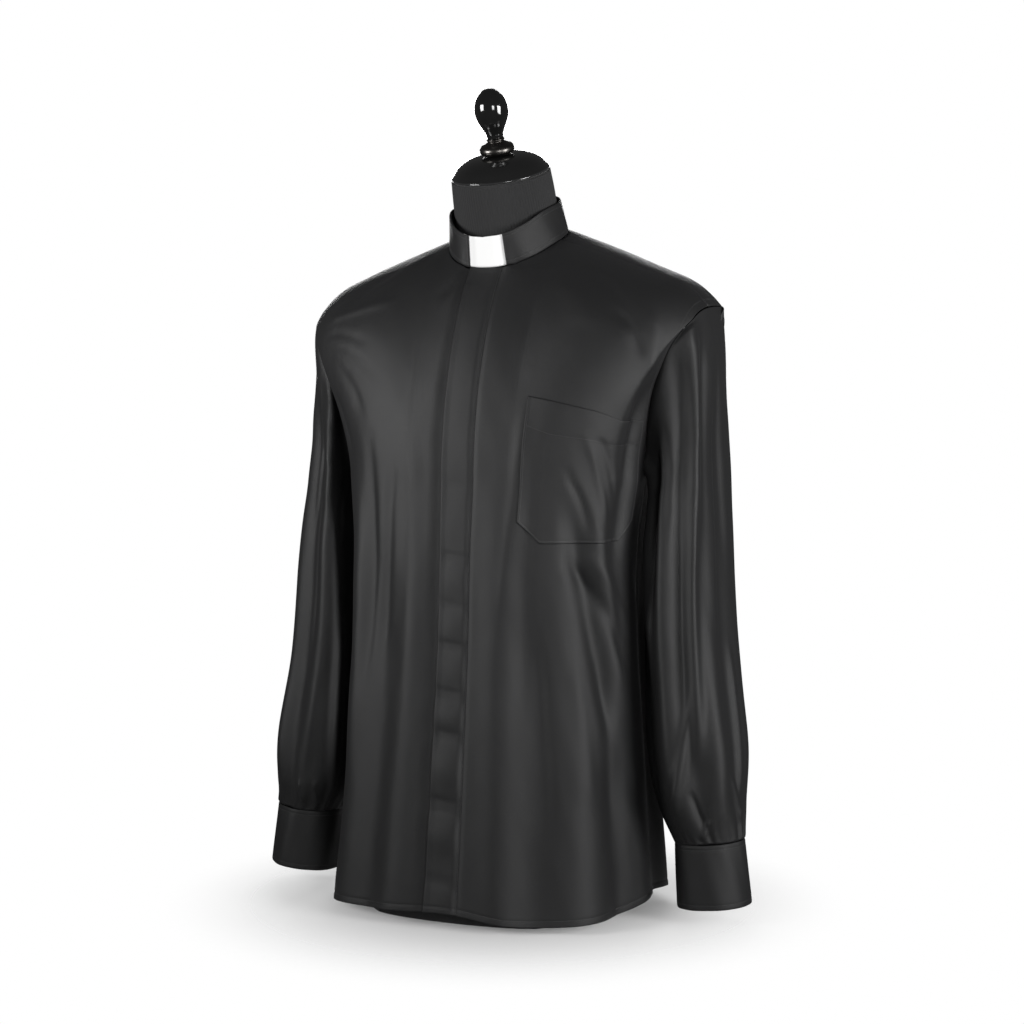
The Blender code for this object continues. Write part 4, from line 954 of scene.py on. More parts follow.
def pocket_place(u, v):
    """phi and rise of a point of the pocket; u runs across and v up, both 0 to 1."""
    column = POCKET_PHI[0] + (POCKET_PHI[1] - POCKET_PHI[0]) * u
    return front_place(column, POCKET_ROWS[0] + (POCKET_ROWS[1] - POCKET_ROWS[0]) * v)


corner = POCKET_CUT_ACROSS
u = np.concatenate([
    [0, 0.006, 0.014], np.linspace(0.03, corner, 8), np.linspace(corner, 1 - corner, 34)[1:-1],
    np.linspace(1 - corner, 0.97, 8), [0.986, 0.994, 1],
])
v = np.concatenate([[0, 0.008, 0.018], np.linspace(0.035, 0.97, 44), [0.988, 1.0]])
u_grid, v_grid = np.meshgrid(u, v)
v_grid = pocket_floor(u_grid) + (1 - pocket_floor(u_grid)) * v_grid
phi, rise = pocket_place(u_grid, v_grid)
to_side, to_floor = np.minimum(u_grid, 1 - u_grid), v_grid - pocket_floor(u_grid)
to_edge = np.minimum(to_side * POCKET_WIDE, to_floor * POCKET_TALL)
puffed = 0.0012 * fade(to_edge / 0.02) * fade((v_grid - 0.1) / 0.5)
turned_edge = 0.0002 * bell(to_edge - 0.001, 0.0014) - 0.00025 * bell(to_edge - 0.0022, 0.0007)
over_hem = v_grid - (1 - POCKET_HEM)
mouth = 0.0003 * fade(over_hem / 0.01) - 0.0003 * bell(over_hem * POCKET_TALL, 0.0009)
pocket_points = body(phi, rise, CLOTH + LAYER_GAP - 0.0004 + puffed + turned_edge + mouth)
pocket = cloth("pocket_patch", pocket_points, black_twill, CLOTH - 0.0004, inside_of(pocket_points), "pocket")

# %% [markdown]
# ## Back and yoke
#
# The back runs from one side seam to the other. The yoke is a separate piece over both shoulders, cut along
# the neckline, both armholes and a seam across the back. Its lines fan out from the neckline, and where they
# pass over the shoulder ridge the front's coordinates change into the back's.

# %% Back
BACK_ROWS = np.concatenate([
    HEM_ROWS / ROWS_BELOW - 1, np.linspace(-0.9757, 0, 112)[:-1], np.linspace(0, 1, 50)
])


def back_top(phi):
    """Rise of the back's seam with the yoke at a column."""
    return np.interp(phi, BACK_COLUMNS, BACK_TOPS)


def back_place(phi, row):
    """phi and rise for a column, and a row from -1 at the hem over 0 to 1 at the yoke."""
    phi, row = np.broadcast_arrays(np.asarray(phi, float), np.asarray(row, float))
    top = back_top(phi)
    top = top - seam_step(towards_armhole(phi, top, back=True), top)
    rise = np.where(row > 0, row * top, row)
    gap = math.degrees(SIDE_SEAM_GAP / 2 / MEAN_RADIUS) * np.clip((180 - phi) / 90, 0, 1) ** 24
    return towards_armhole(phi, rise, back=True) + gap, rise


columns = np.concatenate([[90, 90.7], np.linspace(91.6, 180, 82)])
phi, rise = back_place(columns[None, :], BACK_ROWS[:, None])
half = body(phi, rise, hem_relief(height_over_hem(phi, rise)))
other = body(-phi[:, -2::-1], rise[:, -2::-1], hem_relief(height_over_hem(phi, rise))[:, -2::-1])
back_points = np.concatenate([half, other], axis=1)
back = cloth("back_cloth", back_points, black_twill, CLOTH, inside_of(back_points), "back")


# %% Yoke
def yoke_rim(t):
    """Outer edge of the half yoke: t in 0..1 along the armhole, and 1..2 along the seam across the back.
    Returns the folded phi and the way over the ridge, negative in front and positive behind."""
    way = -(1 - YOKE_FRONT_RISE) + (2 - YOKE_FRONT_RISE - BACK_TOPS[0]) * np.clip(t, 0, 1)
    at_hole = np.where(way > 0, 180 - armhole_phi(1 - np.abs(way), True), armhole_phi(1 - np.abs(way)))
    column = 90 + 90 * np.clip(t - 1, 0, 1)
    top = back_top(column)
    seam = 180 - towards_armhole(column, top, back=True)
    step = seam_step(180 - seam, top)
    return np.where(t < 1, at_hole, seam), np.where(t < 1, way, 1 - top - step)


AROUND = np.concatenate([np.linspace(0, 1, 60)[:-1], np.linspace(1, 2, 74)])
OUT = np.concatenate([[0, 0.02], np.linspace(0.04, 0.98, 46), [1.0]])
rim_fold, rim_way = yoke_rim(AROUND)
share_round = np.interp(AROUND, (0, 1, 2), (0, 7 / 18, 1))
angle = CORNER_ANGLE + (180 - CORNER_ANGLE) * share_round
neck_fold, neck_way = fold_over(*neckline(angle))
front_gap = seam_step(np.array([CORNER_PHI]), np.array([YOKE_FRONT_RISE]))[0]
fold = neck_fold[:, None] + (rim_fold - neck_fold)[:, None] * OUT[None, :]
way = neck_way[:, None] + (rim_way - neck_way)[:, None] * OUT[None, :]
near_front = (1 - fade(AROUND / 0.12))[:, None]
way = way + near_front * front_gap * (way < 0)
phi, rise = fold_back(fold, way)
yoke_points = np.concatenate([body(phi, rise), body(-phi[-2::-1], rise[-2::-1])])
under_yoke = yoke_points * np.array([0.9, 0.3, 0]) + np.array([0, 0, 0.5])
yoke = cloth("yoke_cloth", yoke_points, black_twill, CLOTH, under_yoke, "yoke")

# %% [markdown]
# ## Sleeves
#
# A sleeve starts as the armhole's own loop and turns, over a few rings, into an ellipse that follows the
# hanging arm. Each ring is drawn between the line next to the body and the line away from it. Down the sleeve
# run deep folds from the shoulder's point, and at the cuff the fullness is gathered into small pleats.

# %% Sizes of the left sleeve
SLEEVE = {
    "inner_x": (0.178, 0.1805, 0.1795, 0.1765, 0.173, 0.170, 0.168, 0.171, 0.176, 0.187, 0.2087),
    "inner_z": (0.475, 0.4690, 0.461, 0.4500, 0.432, 0.400, 0.330, 0.260, 0.180, 0.125, 0.0823),
    "outer_x": (0.240, 0.2420, 0.2425, 0.2425, 0.2465, 0.252, 0.2585, 0.2675, 0.281, 0.2845, 0.2847),
    "outer_z": (0.650, 0.6220, 0.585, 0.5350, 0.472, 0.410, 0.330, 0.260, 0.180, 0.125, 0.0898),
    "centre_y": (0.034, 0.038, 0.041, 0.042, 0.037, 0.030, 0.024, 0.017, 0.006, 0.001, -0.002),
    "half_depth": (0.047, 0.054, 0.061, 0.066, 0.068, 0.068, 0.065, 0.060, 0.054, 0.049, 0.0365),
}
LAST_RING = 10
BLEND_RINGS = 3.5
LARGE_SLEEVE_FOLDS = (
    # turn_top, ring_top, turn_bottom, ring_bottom, half_width (degrees), height
    (68, 0.5, 74, 11.0, 15, 0.0050),
    (41, 1.0, 46, 9.6, 13, -0.0060),
    (14, 1.5, 16, 10.5, 14, 0.0040),
    (96, 1.0, 104, 9.0, 13, -0.0055),
    (135, 2.5, 138, 10.0, 18, 0.0030),
    (-22, 2.0, -18, 9.0, 14, -0.0045),
    (-55, 1.5, -58, 9.8, 18, 0.0045),
    (-92, 1.5, -88, 9.0, 15, -0.0050),
    (-128, 2.0, -125, 10.5, 17, 0.0040),
)
LEFT_CREASES = (
    # turn_start, ring_start, turn_end, ring_end, half_width, height, steep, bow
    (57, -0.5, 60, 5.6, 0.0092, -0.0135, 0.0, 0.001),
    (59, 4.0, 70, 8.4, 0.0088, -0.0120, 0.2, 0.002),
    (72, 7.0, 112, 9.3, 0.0065, -0.0055, 0.5, 0.003),
    (42, 0.6, 45, 7.4, 0.0090, 0.0050, 0.0, 0.002),
    (130, -0.6, 134, 7.5, 0.0085, -0.0110, 0.3, 0.001),
    (114, 1.0, 118, 6.6, 0.0080, 0.0035, 0.3, 0.001),
    (70, 4.6, 88, 8.4, 0.0070, 0.0022, 0.3, 0.003),
    (22, 1.4, 26, 6.8, 0.0060, -0.0016, 0.4, 0.002),
    (10, 1.2, 4, 5.8, 0.0055, 0.0018, 0.3, 0.002),
    (4, 6.2, 14, 9.2, 0.0055, -0.0030, 0.5, 0.004),
    (30, 8.2, 6, 9.5, 0.0045, -0.0030, 0.5, 0.003),
    (62, 9.2, 84, 9.95, 0.0035, -0.0024, 0.5, 0.001),
    (84, 8.5, 70, 9.7, 0.0045, 0.0026, 0.4, 0.002),
    (92, 1.0, 96, 5.6, 0.0060, 0.0022, 0.3, 0.002),
    (-12, 2.2, -16, 6.6, 0.0070, 0.0018, 0.4, 0.002),
    (-36, 3.4, -44, 5.6, 0.0060, -0.0026, 0.5, 0.006),
    (-66, 4.4, -40, 5.2, 0.0055, -0.0024, 0.5, 0.004),
    (-70, 5.2, -46, 6.0, 0.0055, 0.0020, 0.4, 0.004),
    (-104, 3.6, -78, 4.6, 0.0060, -0.0022, 0.5, 0.004),
    (-108, 6.0, -74, 8.6, 0.0070, -0.0026, 0.4, 0.004),
    (-140, 3.0, -138, 8.6, 0.0080, -0.0022, 0.4, 0.002),
    (160, 3.0, 166, 8.8, 0.0080, -0.0022, 0.4, 0.002),
)
RIGHT_CREASES = (
    # the same columns, on the mirrored sleeve
    (84, -0.6, 100, 4.8, 0.0080, -0.0120, 0.2, 0.001),
    (110, 4.2, 136, 9.3, 0.0080, -0.0070, 0.4, 0.002),
    (92, 1.4, 86, 7.6, 0.0060, 0.0020, 0.3, 0.002),
    (122, 2.6, 116, 6.4, 0.0065, 0.0022, 0.3, 0.002),
    (122, 5.9, 142, 9.6, 0.0085, -0.0060, 0.5, 0.003),
    (108, 6.8, 104, 9.3, 0.0080, 0.0022, 0.3, 0.002),
    (86, 9.0, 104, 9.8, 0.0040, -0.0022, 0.5, 0.002),
    (110, 9.0, 124, 9.8, 0.0040, -0.0020, 0.5, 0.002),
    (72, 0.8, 68, 5.2, 0.0060, -0.0018, 0.4, 0.002),
    (34, 1.4, 40, 7.0, 0.0070, -0.0030, 0.4, 0.003),
    (6, 2.0, 12, 8.0, 0.0070, 0.0020, 0.4, 0.003),
    (-14, 3.2, -24, 6.2, 0.0070, -0.0024, 0.5, 0.005),
    (-52, 4.2, -26, 5.2, 0.0055, -0.0024, 0.5, 0.004),
    (-60, 5.2, -34, 6.0, 0.0055, 0.0018, 0.4, 0.004),
    (-96, 3.8, -70, 4.7, 0.0060, -0.0024, 0.5, 0.004),
    (-86, 6.2, -100, 8.8, 0.0070, -0.0026, 0.4, 0.004),
    (-132, 3.2, -140, 8.2, 0.0080, -0.0024, 0.4, 0.002),
    (166, 3.4, 160, 8.8, 0.0080, -0.0020, 0.4, 0.002),
)
SLEEVE_RADIUS = 0.058
RING_LENGTH = 0.056
SLEEVE_ONCE_ROUND = 2 * math.pi * SLEEVE_RADIUS
GATHER_COUNT, GATHER_HEIGHT, GATHER_REACH = 23, 0.0016, 0.30
CREASES_OF = {
    "left": in_metres(LEFT_CREASES, SLEEVE_RADIUS, RING_LENGTH),
    "right": in_metres(RIGHT_CREASES, SLEEVE_RADIUS, RING_LENGTH),
}
SHIFT_OF = {"left": 0.8, "right": 2.9}


# %% Sleeve surface
def sleeve_ring(turn, ring):
    """Ellipse between the body-side line and the outer line; turn 0 outside, 90 in front, 180 at the body."""
    at = {name: smooth(np.arange(LAST_RING + 1), values, ring) for name, values in SLEEVE.items()}
    c, s = np.cos(np.radians(turn)), np.sin(np.radians(turn))
    x = (at["inner_x"] + at["outer_x"]) / 2 + (at["outer_x"] - at["inner_x"]) / 2 * c
    z = (at["inner_z"] + at["outer_z"]) / 2 + (at["outer_z"] - at["inner_z"]) / 2 * c
    return np.stack(np.broadcast_arrays(x, at["centre_y"] - at["half_depth"] * s, z), axis=-1)


def armhole_loop():
    """The armhole once round as phi and rise: down its front edge from the ridge, and up behind."""
    q = np.linspace(0, 2, 601)[:-1]
    rise = np.where(q < 1, 1 - q, q - 1)
    return np.where(q < 1, armhole_phi(rise), armhole_phi(rise, True)), rise


MIRROR = {"left": np.array([1, 1, 1]), "right": np.array([-1, 1, 1])}
LOOP_PHI, LOOP_RISE = armhole_loop()
LOOP_OUT = body_normal(LOOP_PHI, LOOP_RISE)
LOOPS = {name: body(LOOP_PHI * mirror[0], LOOP_RISE) * mirror for name, mirror in MIRROR.items()}
LOOP = LOOPS["left"]
up = (LOOP[:, 2] - (LOOP[:, 2].min() + LOOP[:, 2].max()) / 2) / ((LOOP[:, 2].max() - LOOP[:, 2].min()) / 2)
side = (SLEEVE["centre_y"][0] - LOOP[:, 1]) / SLEEVE["half_depth"][0]
LOOP_TURN = np.degrees(np.unwrap(np.arctan2(side, up)))
LOOP_TURN = np.maximum.accumulate(LOOP_TURN)


def on_loop(values, turn):
    """A value of the armhole's loop at a turn, read round and round."""
    once = LOOP_TURN[0] + (turn - LOOP_TURN[0]) % 360
    ahead = np.append(LOOP_TURN, LOOP_TURN[0] + 360)
    return np.stack([np.interp(once, ahead, np.append(v, v[0])) for v in values.T], axis=-1)


def gathers(turn, ring, shift):
    """Small pleats at the cuff: a wave of uneven pitch whose crests are sharp, dying out up the sleeve."""
    a = np.radians(turn)
    wave = np.sin(GATHER_COUNT * a + 1.4 * np.sin(3 * a + shift) + 0.9 * np.sin(5 * a + 2 * shift))
    reach = GATHER_REACH * (1 + 0.7 * np.sin(2 * a + shift) + 0.5 * np.sin(7 * a + shift))
    near = np.clip(1 - (LAST_RING - ring) / np.maximum(3.2 * reach, 0.25), 0, 1)
    at_seam = fade((LAST_RING - ring) / 0.06)
    return GATHER_HEIGHT * wave * near**1.5 * (0.55 + 0.45 * np.sin(4 * a + 2 * shift)) * at_seam


def sleeve(name, turn, ring, out=0.0):
    """Armhole loop blended into the ellipses, moved out by its folds, creases, gathers and ripple."""
    shift = SHIFT_OF[name]
    base = sleeve_ring(turn, ring)
    start = on_loop(LOOPS[name], turn) - sleeve_ring(turn, 0.0)
    around = sleeve_ring(turn + 1, ring) - sleeve_ring(turn - 1, ring)
    along = sleeve_ring(turn, ring + 0.05) - sleeve_ring(turn, ring - 0.05)
    normal = unit(np.cross(along, around))
    lift = np.zeros(np.broadcast(turn, ring).shape) + out
    for turn_top, ring_top, turn_bottom, ring_bottom, half_width, height in LARGE_SLEEVE_FOLDS:
        t = (ring - ring_top) / (ring_bottom - ring_top)
        middle = turn_top + (turn_bottom - turn_top) * np.clip(t, 0, 1)
        off = (turn - middle + 180) % 360 - 180
        lift = lift + height * bell(off, half_width) * fade(t / 0.25) * fade((1 - t) / 0.2)
    across, down = np.radians(turn) * SLEEVE_RADIUS, ring * RING_LENGTH
    lift = lift + creases(CREASES_OF[name], across, down, SLEEVE_ONCE_ROUND) * fade(ring / 0.3)
    waves = ripple(across, down + shift, 0.058, 0.0008, SLEEVE_ONCE_ROUND)
    waves = waves + ripple(across, down + 2 * shift, 0.020, 0.0002, SLEEVE_ONCE_ROUND)
    lift = lift + waves * fade(ring / 0.5) + gathers(turn, ring, shift)
    return base + start * (1 - fade(ring / BLEND_RINGS))[..., None] + normal * lift[..., None]


SEAM_GAP = 0.0004
SHOULDER_SEAM_GAP = 0.0004
SEAM_RINGS = 0.5
SLEEVE_TURNS = LOOP_TURN[0] + np.arange(150) * 2.4
SLEEVE_RING_STEPS = np.concatenate(
    [np.linspace(0, 0.12, 4)[:-1], np.linspace(0.12, 8.6, 130)[:-1], np.linspace(8.6, 10, 34)]
)


def sleeve_grid(name):
    """The whole sleeve, drawn back a little from the armhole so that the two walls stay apart."""
    turn, ring = np.meshgrid(SLEEVE_TURNS, SLEEVE_RING_STEPS)
    points = sleeve(name, turn, ring)
    along = unit(sleeve(name, turn[:1], ring[:1] + 0.35) - points[:1])
    turned_in = np.maximum(-(on_loop(LOOP_OUT, turn[:1]) * along).sum(axis=-1, keepdims=True), 0)
    over = fade((points[:1, :, 2:] - 0.60) / 0.03)
    back_off = SEAM_GAP + SHOULDER_SEAM_GAP * over + 1.25 * CLOTH * turned_in
    return points + along * back_off * (1 - fade(ring / SEAM_RINGS))[..., None]


sleeve_points, sleeves = {}, {}
for name, mirror in MIRROR.items():
    grid = sleeve_grid(name) * mirror
    centre = np.broadcast_to(grid.mean(axis=1, keepdims=True), grid.shape)
    sleeve_points[name] = grid
    sleeves[name] = cloth(
        f"sleeve_{name}_cloth", grid, black_twill, CLOTH, centre, f"sleeve_{name}", closed=True
    )

# %% [markdown]
# ## Sleeve plackets and cuffs
#
# The opening at the wrist is faced with a narrow strip, and the cuff is a stiffer double band whose end laps
# over its start. Both are out of sight in front, where the cuff shows as a plain band with a row of stitches
# near each edge.

# %% Sleeve plackets
WRIST_TURN, WRIST_HALF, WRIST_RADIUS = -84.0, 13.0, 0.045
FACING_CLOTH = 0.0007
facing_points, facings = {}, {}
for name, mirror in MIRROR.items():
    turns = np.linspace(WRIST_TURN - WRIST_HALF, WRIST_TURN + WRIST_HALF, 16)
    turn, ring = np.meshgrid(turns, np.linspace(7.9, 9.96, 46))
    to_side = np.minimum(turn - turn.min(), turn.max() - turn) * math.radians(1) * WRIST_RADIUS
    pressed = -0.0003 * bell(to_side - 0.0018, 0.0008)
    points = sleeve(name, turn, ring, 0.0003 + FACING_CLOTH + pressed) * mirror
    centre = np.broadcast_to(points.mean(axis=1, keepdims=True) + np.array([0, -0.04, 0]), points.shape)
    facing_points[name] = points
    piece_name = f"sleeve_placket_{name}"
    facings[name] = cloth(f"{piece_name}_strip", points, black_twill, FACING_CLOTH, centre, piece_name)

# %% Cuffs
CUFF = {
    "centre_x": (0.2467, 0.2527),
    "centre_y": (-0.002, -0.004),
    "height": (0.0855, 0.0160),
    "half_width": (0.0380, 0.0410),
    "half_depth": (0.0365, 0.0385),
}
CUFF_OPENING, CUFF_OVERLAP = -82.0, 26.0
CUFF_TALL, CUFF_STITCH = 0.0695, 0.0055
CUFF_LEAN = (CUFF["centre_x"][1] - CUFF["centre_x"][0]) / (CUFF["height"][0] - CUFF["height"][1])


def cuff(turn, share, out):
    """An ellipse that widens from the seam (share 0) to the wrist (share 1), tipped square to the forearm."""
    at = {key: low + (high - low) * share for key, (low, high) in CUFF.items()}
    a = np.radians(turn)
    x = at["centre_x"] + (at["half_width"] + out) * np.cos(a)
    y = at["centre_y"] - (at["half_depth"] + out) * np.sin(a)
    return np.stack([x, y, at["height"] + CUFF_LEAN * (x - CUFF["centre_x"][0])], axis=-1)


def cuff_grid(shift):
    """Turns past the opening run outside the start of the band. The band is slightly uneven, its edges are
    rolled, and a shallow dent follows each row of stitches."""
    share = np.concatenate([[0, 0.012, 0.03], np.linspace(0.05, 0.95, 34), [0.97, 0.988, 1.0]])
    last = 360 + CUFF_OVERLAP
    past = np.concatenate([[0, 0.6, 1.4], np.linspace(3, last - 2, 150), [last - 1, last]])
    turn, down = np.meshgrid(CUFF_OPENING + past, share)
    inside = 1 - fade((turn - CUFF_OPENING - CUFF_OVERLAP * 0.9) / 45)
    lap = -(CUFF_CLOTH + LAYER_GAP + 0.0002) * inside
    edge = np.minimum(down, 1 - down) * CUFF_TALL
    rolled = -0.0005 * bell(edge, 0.0010) - 0.00028 * bell(edge - CUFF_STITCH, 0.0007)
    a = np.radians(turn)
    uneven = 0.0006 * np.sin(2 * a + shift) * down + 0.0004 * np.sin(5 * a + 2 * shift + 2 * down)
    uneven = (uneven + 0.0003 * np.sin(9 * a + 4 * down)) * fade((turn - CUFF_OPENING - 60) / 40)
    return turn, down, cuff(turn, down, lap + rolled + uneven)


WRIST_X = 0.25
cuff_points, cuffs = {}, {}
for name, mirror in MIRROR.items():
    turn, down, points = cuff_grid(SHIFT_OF[name])
    points = points * mirror
    centre = points * np.array([0, 0, 1]) + np.array([mirror[0] * WRIST_X, -0.003, 0])
    cuff_points[name] = (turn, down, points)
    cuffs[name] = cloth(f"cuff_{name}_band", points, collar_twill, CUFF_CLOTH, centre, f"cuff_{name}")

# %% [markdown]
# ## Cuff buttons
#
# A button could be a lathe piece with four drilled holes. Here it is a polar grid whose height is worked out
# from the distance to the middle, less a dent at each hole, so the face stays one smooth skin.

# %% Buttons
BUTTON_RADIUS, BUTTON_THICK = 0.0055, 0.0022
HOLE_AT, HOLE_RADIUS = 0.0015, 0.00062


def button_face(radius, angle):
    """Height of the face: a raised rim, a shallow dish and four holes at the corners of a square."""
    x, y = radius * np.cos(angle), radius * np.sin(angle)
    share = radius / BUTTON_RADIUS
    height = BUTTON_THICK / 2 - 0.0005 * fade((0.80 - share) / 0.16)
    height = height - 0.0006 * fade((share - 0.88) / 0.12) ** 2
    for cx, cy in ((1, 1), (1, -1), (-1, 1), (-1, -1)):
        away = np.hypot(x - cx * HOLE_AT / math.sqrt(2), y - cy * HOLE_AT / math.sqrt(2))
        height = height - 0.0010 * (1 - fade((away - HOLE_RADIUS * 0.6) / (HOLE_RADIUS * 0.6)))
    return x, y, height


for name, mirror in MIRROR.items():
    turn = CUFF_OPENING + CUFF_OVERLAP * 0.45
    a = math.radians(turn)
    seat = cuff(np.array(turn), np.array(0.5), SEAM_GAP + BUTTON_THICK / 2) * mirror
    outward = np.array([math.cos(a) * mirror[0], -math.sin(a), 0.0])
    sideways = np.array([-outward[1], outward[0], 0.0])
    radii = np.linspace(0.00001, 1, 40) * BUTTON_RADIUS
    angle, radius = np.meshgrid(np.linspace(0, 2 * math.pi, 49)[:-1], radii)
    x, y, height = button_face(radius, angle)
    flat = seat + x[..., None] * sideways + y[..., None] * np.array([0, 0, 1.0])
    face = flat + height[..., None] * outward
    rim = face[-1:] - outward * (BUTTON_THICK * 0.45)
    base = seat + (face[-1:] - seat) * 0.86 - outward * (BUTTON_THICK * 0.55)
    nearly_shut = (base - base.mean(axis=1, keepdims=True)) * 0.002
    under = seat[None, None, :] - outward * (BUTTON_THICK * 0.5) + nearly_shut
    skin = np.concatenate([face, rim, base, under])
    mesh = grid_mesh(f"cuff_button_{name}_shell", skin, True)
    shell = place(f"cuff_button_{name}_shell", mesh, button_shell)
    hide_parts(f"cuff_button_{name}")
print("Buttons of", BUTTON_RADIUS * 2000, "mm")

# %% [markdown]
# ## Band collar and its white tab
#
# The collar is a stiff double band that stands on the neckline and leans with the neck. It's open in front,
# and a white tab slides into both of its ends. The band is drawn between the neckline and its own top edge,
# and its edges are rolled where the two layers are turned in.

# %% Collar
COLLAR_LIFT = 0.0007
COLLAR_HALF_WIDTH, COLLAR_HALF_DEPTH, COLLAR_CENTRE_Y = 0.0625, 0.0615, 0.0070
COLLAR_TOP_ANGLE = (0, 20, 45, 66, 114, 150, 180)
COLLAR_TOP_HEIGHT = (0.738, 0.741, 0.753, 0.767, 0.784, 0.793, 0.796)
TAB_HALF_WIDTH, TAB_CENTRE_X, TAB_TUCK = 0.0205, 0.0015, 0.009
COLLAR_TALL, COLLAR_STITCH = 0.033, 0.0040


def collar(angle, up, out=0.0):
    """Straight line from the neckline (up 0) to the top edge (up 1) at each angle round the neck."""
    angle = (angle + 180) % 360 - 180
    phi, rise = neckline(angle)
    foot = body(phi, rise) + np.array([0, 0, COLLAR_LIFT])
    a = np.radians(angle)
    head = np.stack([COLLAR_HALF_WIDTH * np.sin(a), COLLAR_CENTRE_Y - COLLAR_HALF_DEPTH * np.cos(a),
                     smooth(COLLAR_TOP_ANGLE, COLLAR_TOP_HEIGHT, np.abs(angle))], axis=-1)
    away = np.stack([np.sin(a), -np.cos(a), np.zeros_like(a)], axis=-1)
    return foot + (head - foot) * up[..., None] + away * np.asarray(out)[..., None]


gap_angle = math.degrees(math.asin(TAB_HALF_WIDTH / COLLAR_HALF_WIDTH))
tab_angle = math.degrees(math.asin(TAB_CENTRE_X / COLLAR_HALF_WIDTH))
share = np.concatenate([[0, 0.02, 0.05], np.linspace(0.08, 0.92, 18), [0.95, 0.98, 1.0]])
span = 360 - 2 * gap_angle
steps = np.concatenate([[0, 0.5, 1.2], np.linspace(2.2, span - 2.2, 200), [span - 1.2, span - 0.5, span]])
turn, up = np.meshgrid(tab_angle + gap_angle + steps, share)
edge = np.minimum(up, 1 - up) * COLLAR_TALL
end = np.minimum(steps, span - steps)[None, :] * math.radians(1) * COLLAR_HALF_WIDTH
rolled = -0.0007 * bell(np.minimum(edge, end), 0.0009) - 0.0003 * bell(edge - COLLAR_STITCH, 0.0007)
wavy = 0.0007 * np.sin(np.radians(turn) * 3 + 1.1) * np.sin(math.pi * up)
wavy = wavy + 0.0003 * np.sin(np.radians(turn) * 11 + up * 3)
collar_points = collar(turn, up, rolled + wavy * fade(end / 0.012))
inside_collar = collar_points * np.array([0, 0, 1])
band = cloth("collar_band", collar_points, collar_twill, COLLAR_CLOTH, inside_collar, "collar")

reach = math.degrees(math.asin((TAB_HALF_WIDTH + TAB_TUCK) / COLLAR_HALF_WIDTH))
turn, up = np.meshgrid(np.linspace(-reach, reach, 60), np.linspace(0.015, 0.985, 24))
forward = 1 - fade((np.abs(turn) - gap_angle * 0.45) / (gap_angle * 0.45))
edge = np.minimum(up, 1 - up) * COLLAR_TALL
inset = (COLLAR_CLOTH + LAYER_GAP) * (1 - 0.75 * forward) + 0.0004 * bell(edge, 0.0008)
tab_points = collar(turn + tab_angle, up, -inset)
inside_tab = tab_points * np.array([0, 0, 1])
cloth("collar_tab_insert", tab_points, tab_sheet, TAB_CLOTH, inside_tab, "collar_tab")

# %% [markdown]
# ## The dress form
#
# The torso that carries the shirt is hidden but for its neck. Its solid stays as it is, in jersey. The neck
# gets a skin of ribbed jersey whose ribs are in the mesh: their height is a power of a cosine round the neck.

# %% Neck
NECK_LEAN = math.radians(20.5)
NECK_TOP = np.array([0.0, -0.0050, 0.8114])
NECK_AXIS = np.array([0.0, -math.sin(NECK_LEAN), math.cos(NECK_LEAN)])
NECK_ACROSS = np.array([0.0, -math.cos(NECK_LEAN), -math.sin(NECK_LEAN)])
NECK = {
    "down": (0.0, 0.020, 0.045, 0.075, 0.110, 0.150),
    "half_width": (0.0540, 0.0556, 0.0570, 0.0572, 0.0564, 0.0522),
    "half_depth": (0.0532, 0.0536, 0.0523, 0.0484, 0.0442, 0.0400),
    "forward": (0.0000, 0.0000, 0.0010, 0.0040, 0.0080, 0.0120),
}
RIBS, RIB_SAMPLES, RIB_HEIGHT = 112, 6, 0.00042
SKIN_OFF, SKIN_THICK = 0.0011, 0.0007


def neck_skin(turn, down):
    """Ellipses square to the leaning axis, with ribs (|cos| to a power) of the same height all the way up."""
    wide = smooth(NECK["down"], NECK["half_width"], down)
    deep = smooth(NECK["down"], NECK["half_depth"], down)
    forward = smooth(NECK["down"], NECK["forward"], down)
    out = SKIN_OFF + RIB_HEIGHT * np.abs(np.cos(turn * RIBS / 2)) ** 0.7
    centre = NECK_TOP - NECK_AXIS * down[..., None] - np.array([0, 1.0, 0]) * forward[..., None]
    aside = np.array([1.0, 0, 0]) * ((wide + out) * np.sin(turn))[..., None]
    return centre + aside + NECK_ACROSS * ((deep + out) * np.cos(turn))[..., None]


count = RIBS * RIB_SAMPLES
turn, down = np.meshgrid(np.arange(count) * 2 * math.pi / count, np.linspace(0.0012, 0.088, 30))
neck_points = neck_skin(turn, down)
centre = np.broadcast_to(neck_points.mean(axis=1, keepdims=True), neck_points.shape)
neck_cover = cloth("neck_jersey", neck_points, rib_jersey, SKIN_THICK, centre, None, closed=True)
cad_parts["form_torso"].data.materials.clear()
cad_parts["form_torso"].data.materials.append(form_jersey)

# %% [markdown]
# ## Cap and finial
#
# Both are turned on a lathe and leaned with the neck: a shallow dome with a bright bead at its rim, then an
# egg on a waisted foot. A smooth profile through a few radii and heights is swept round the axis.

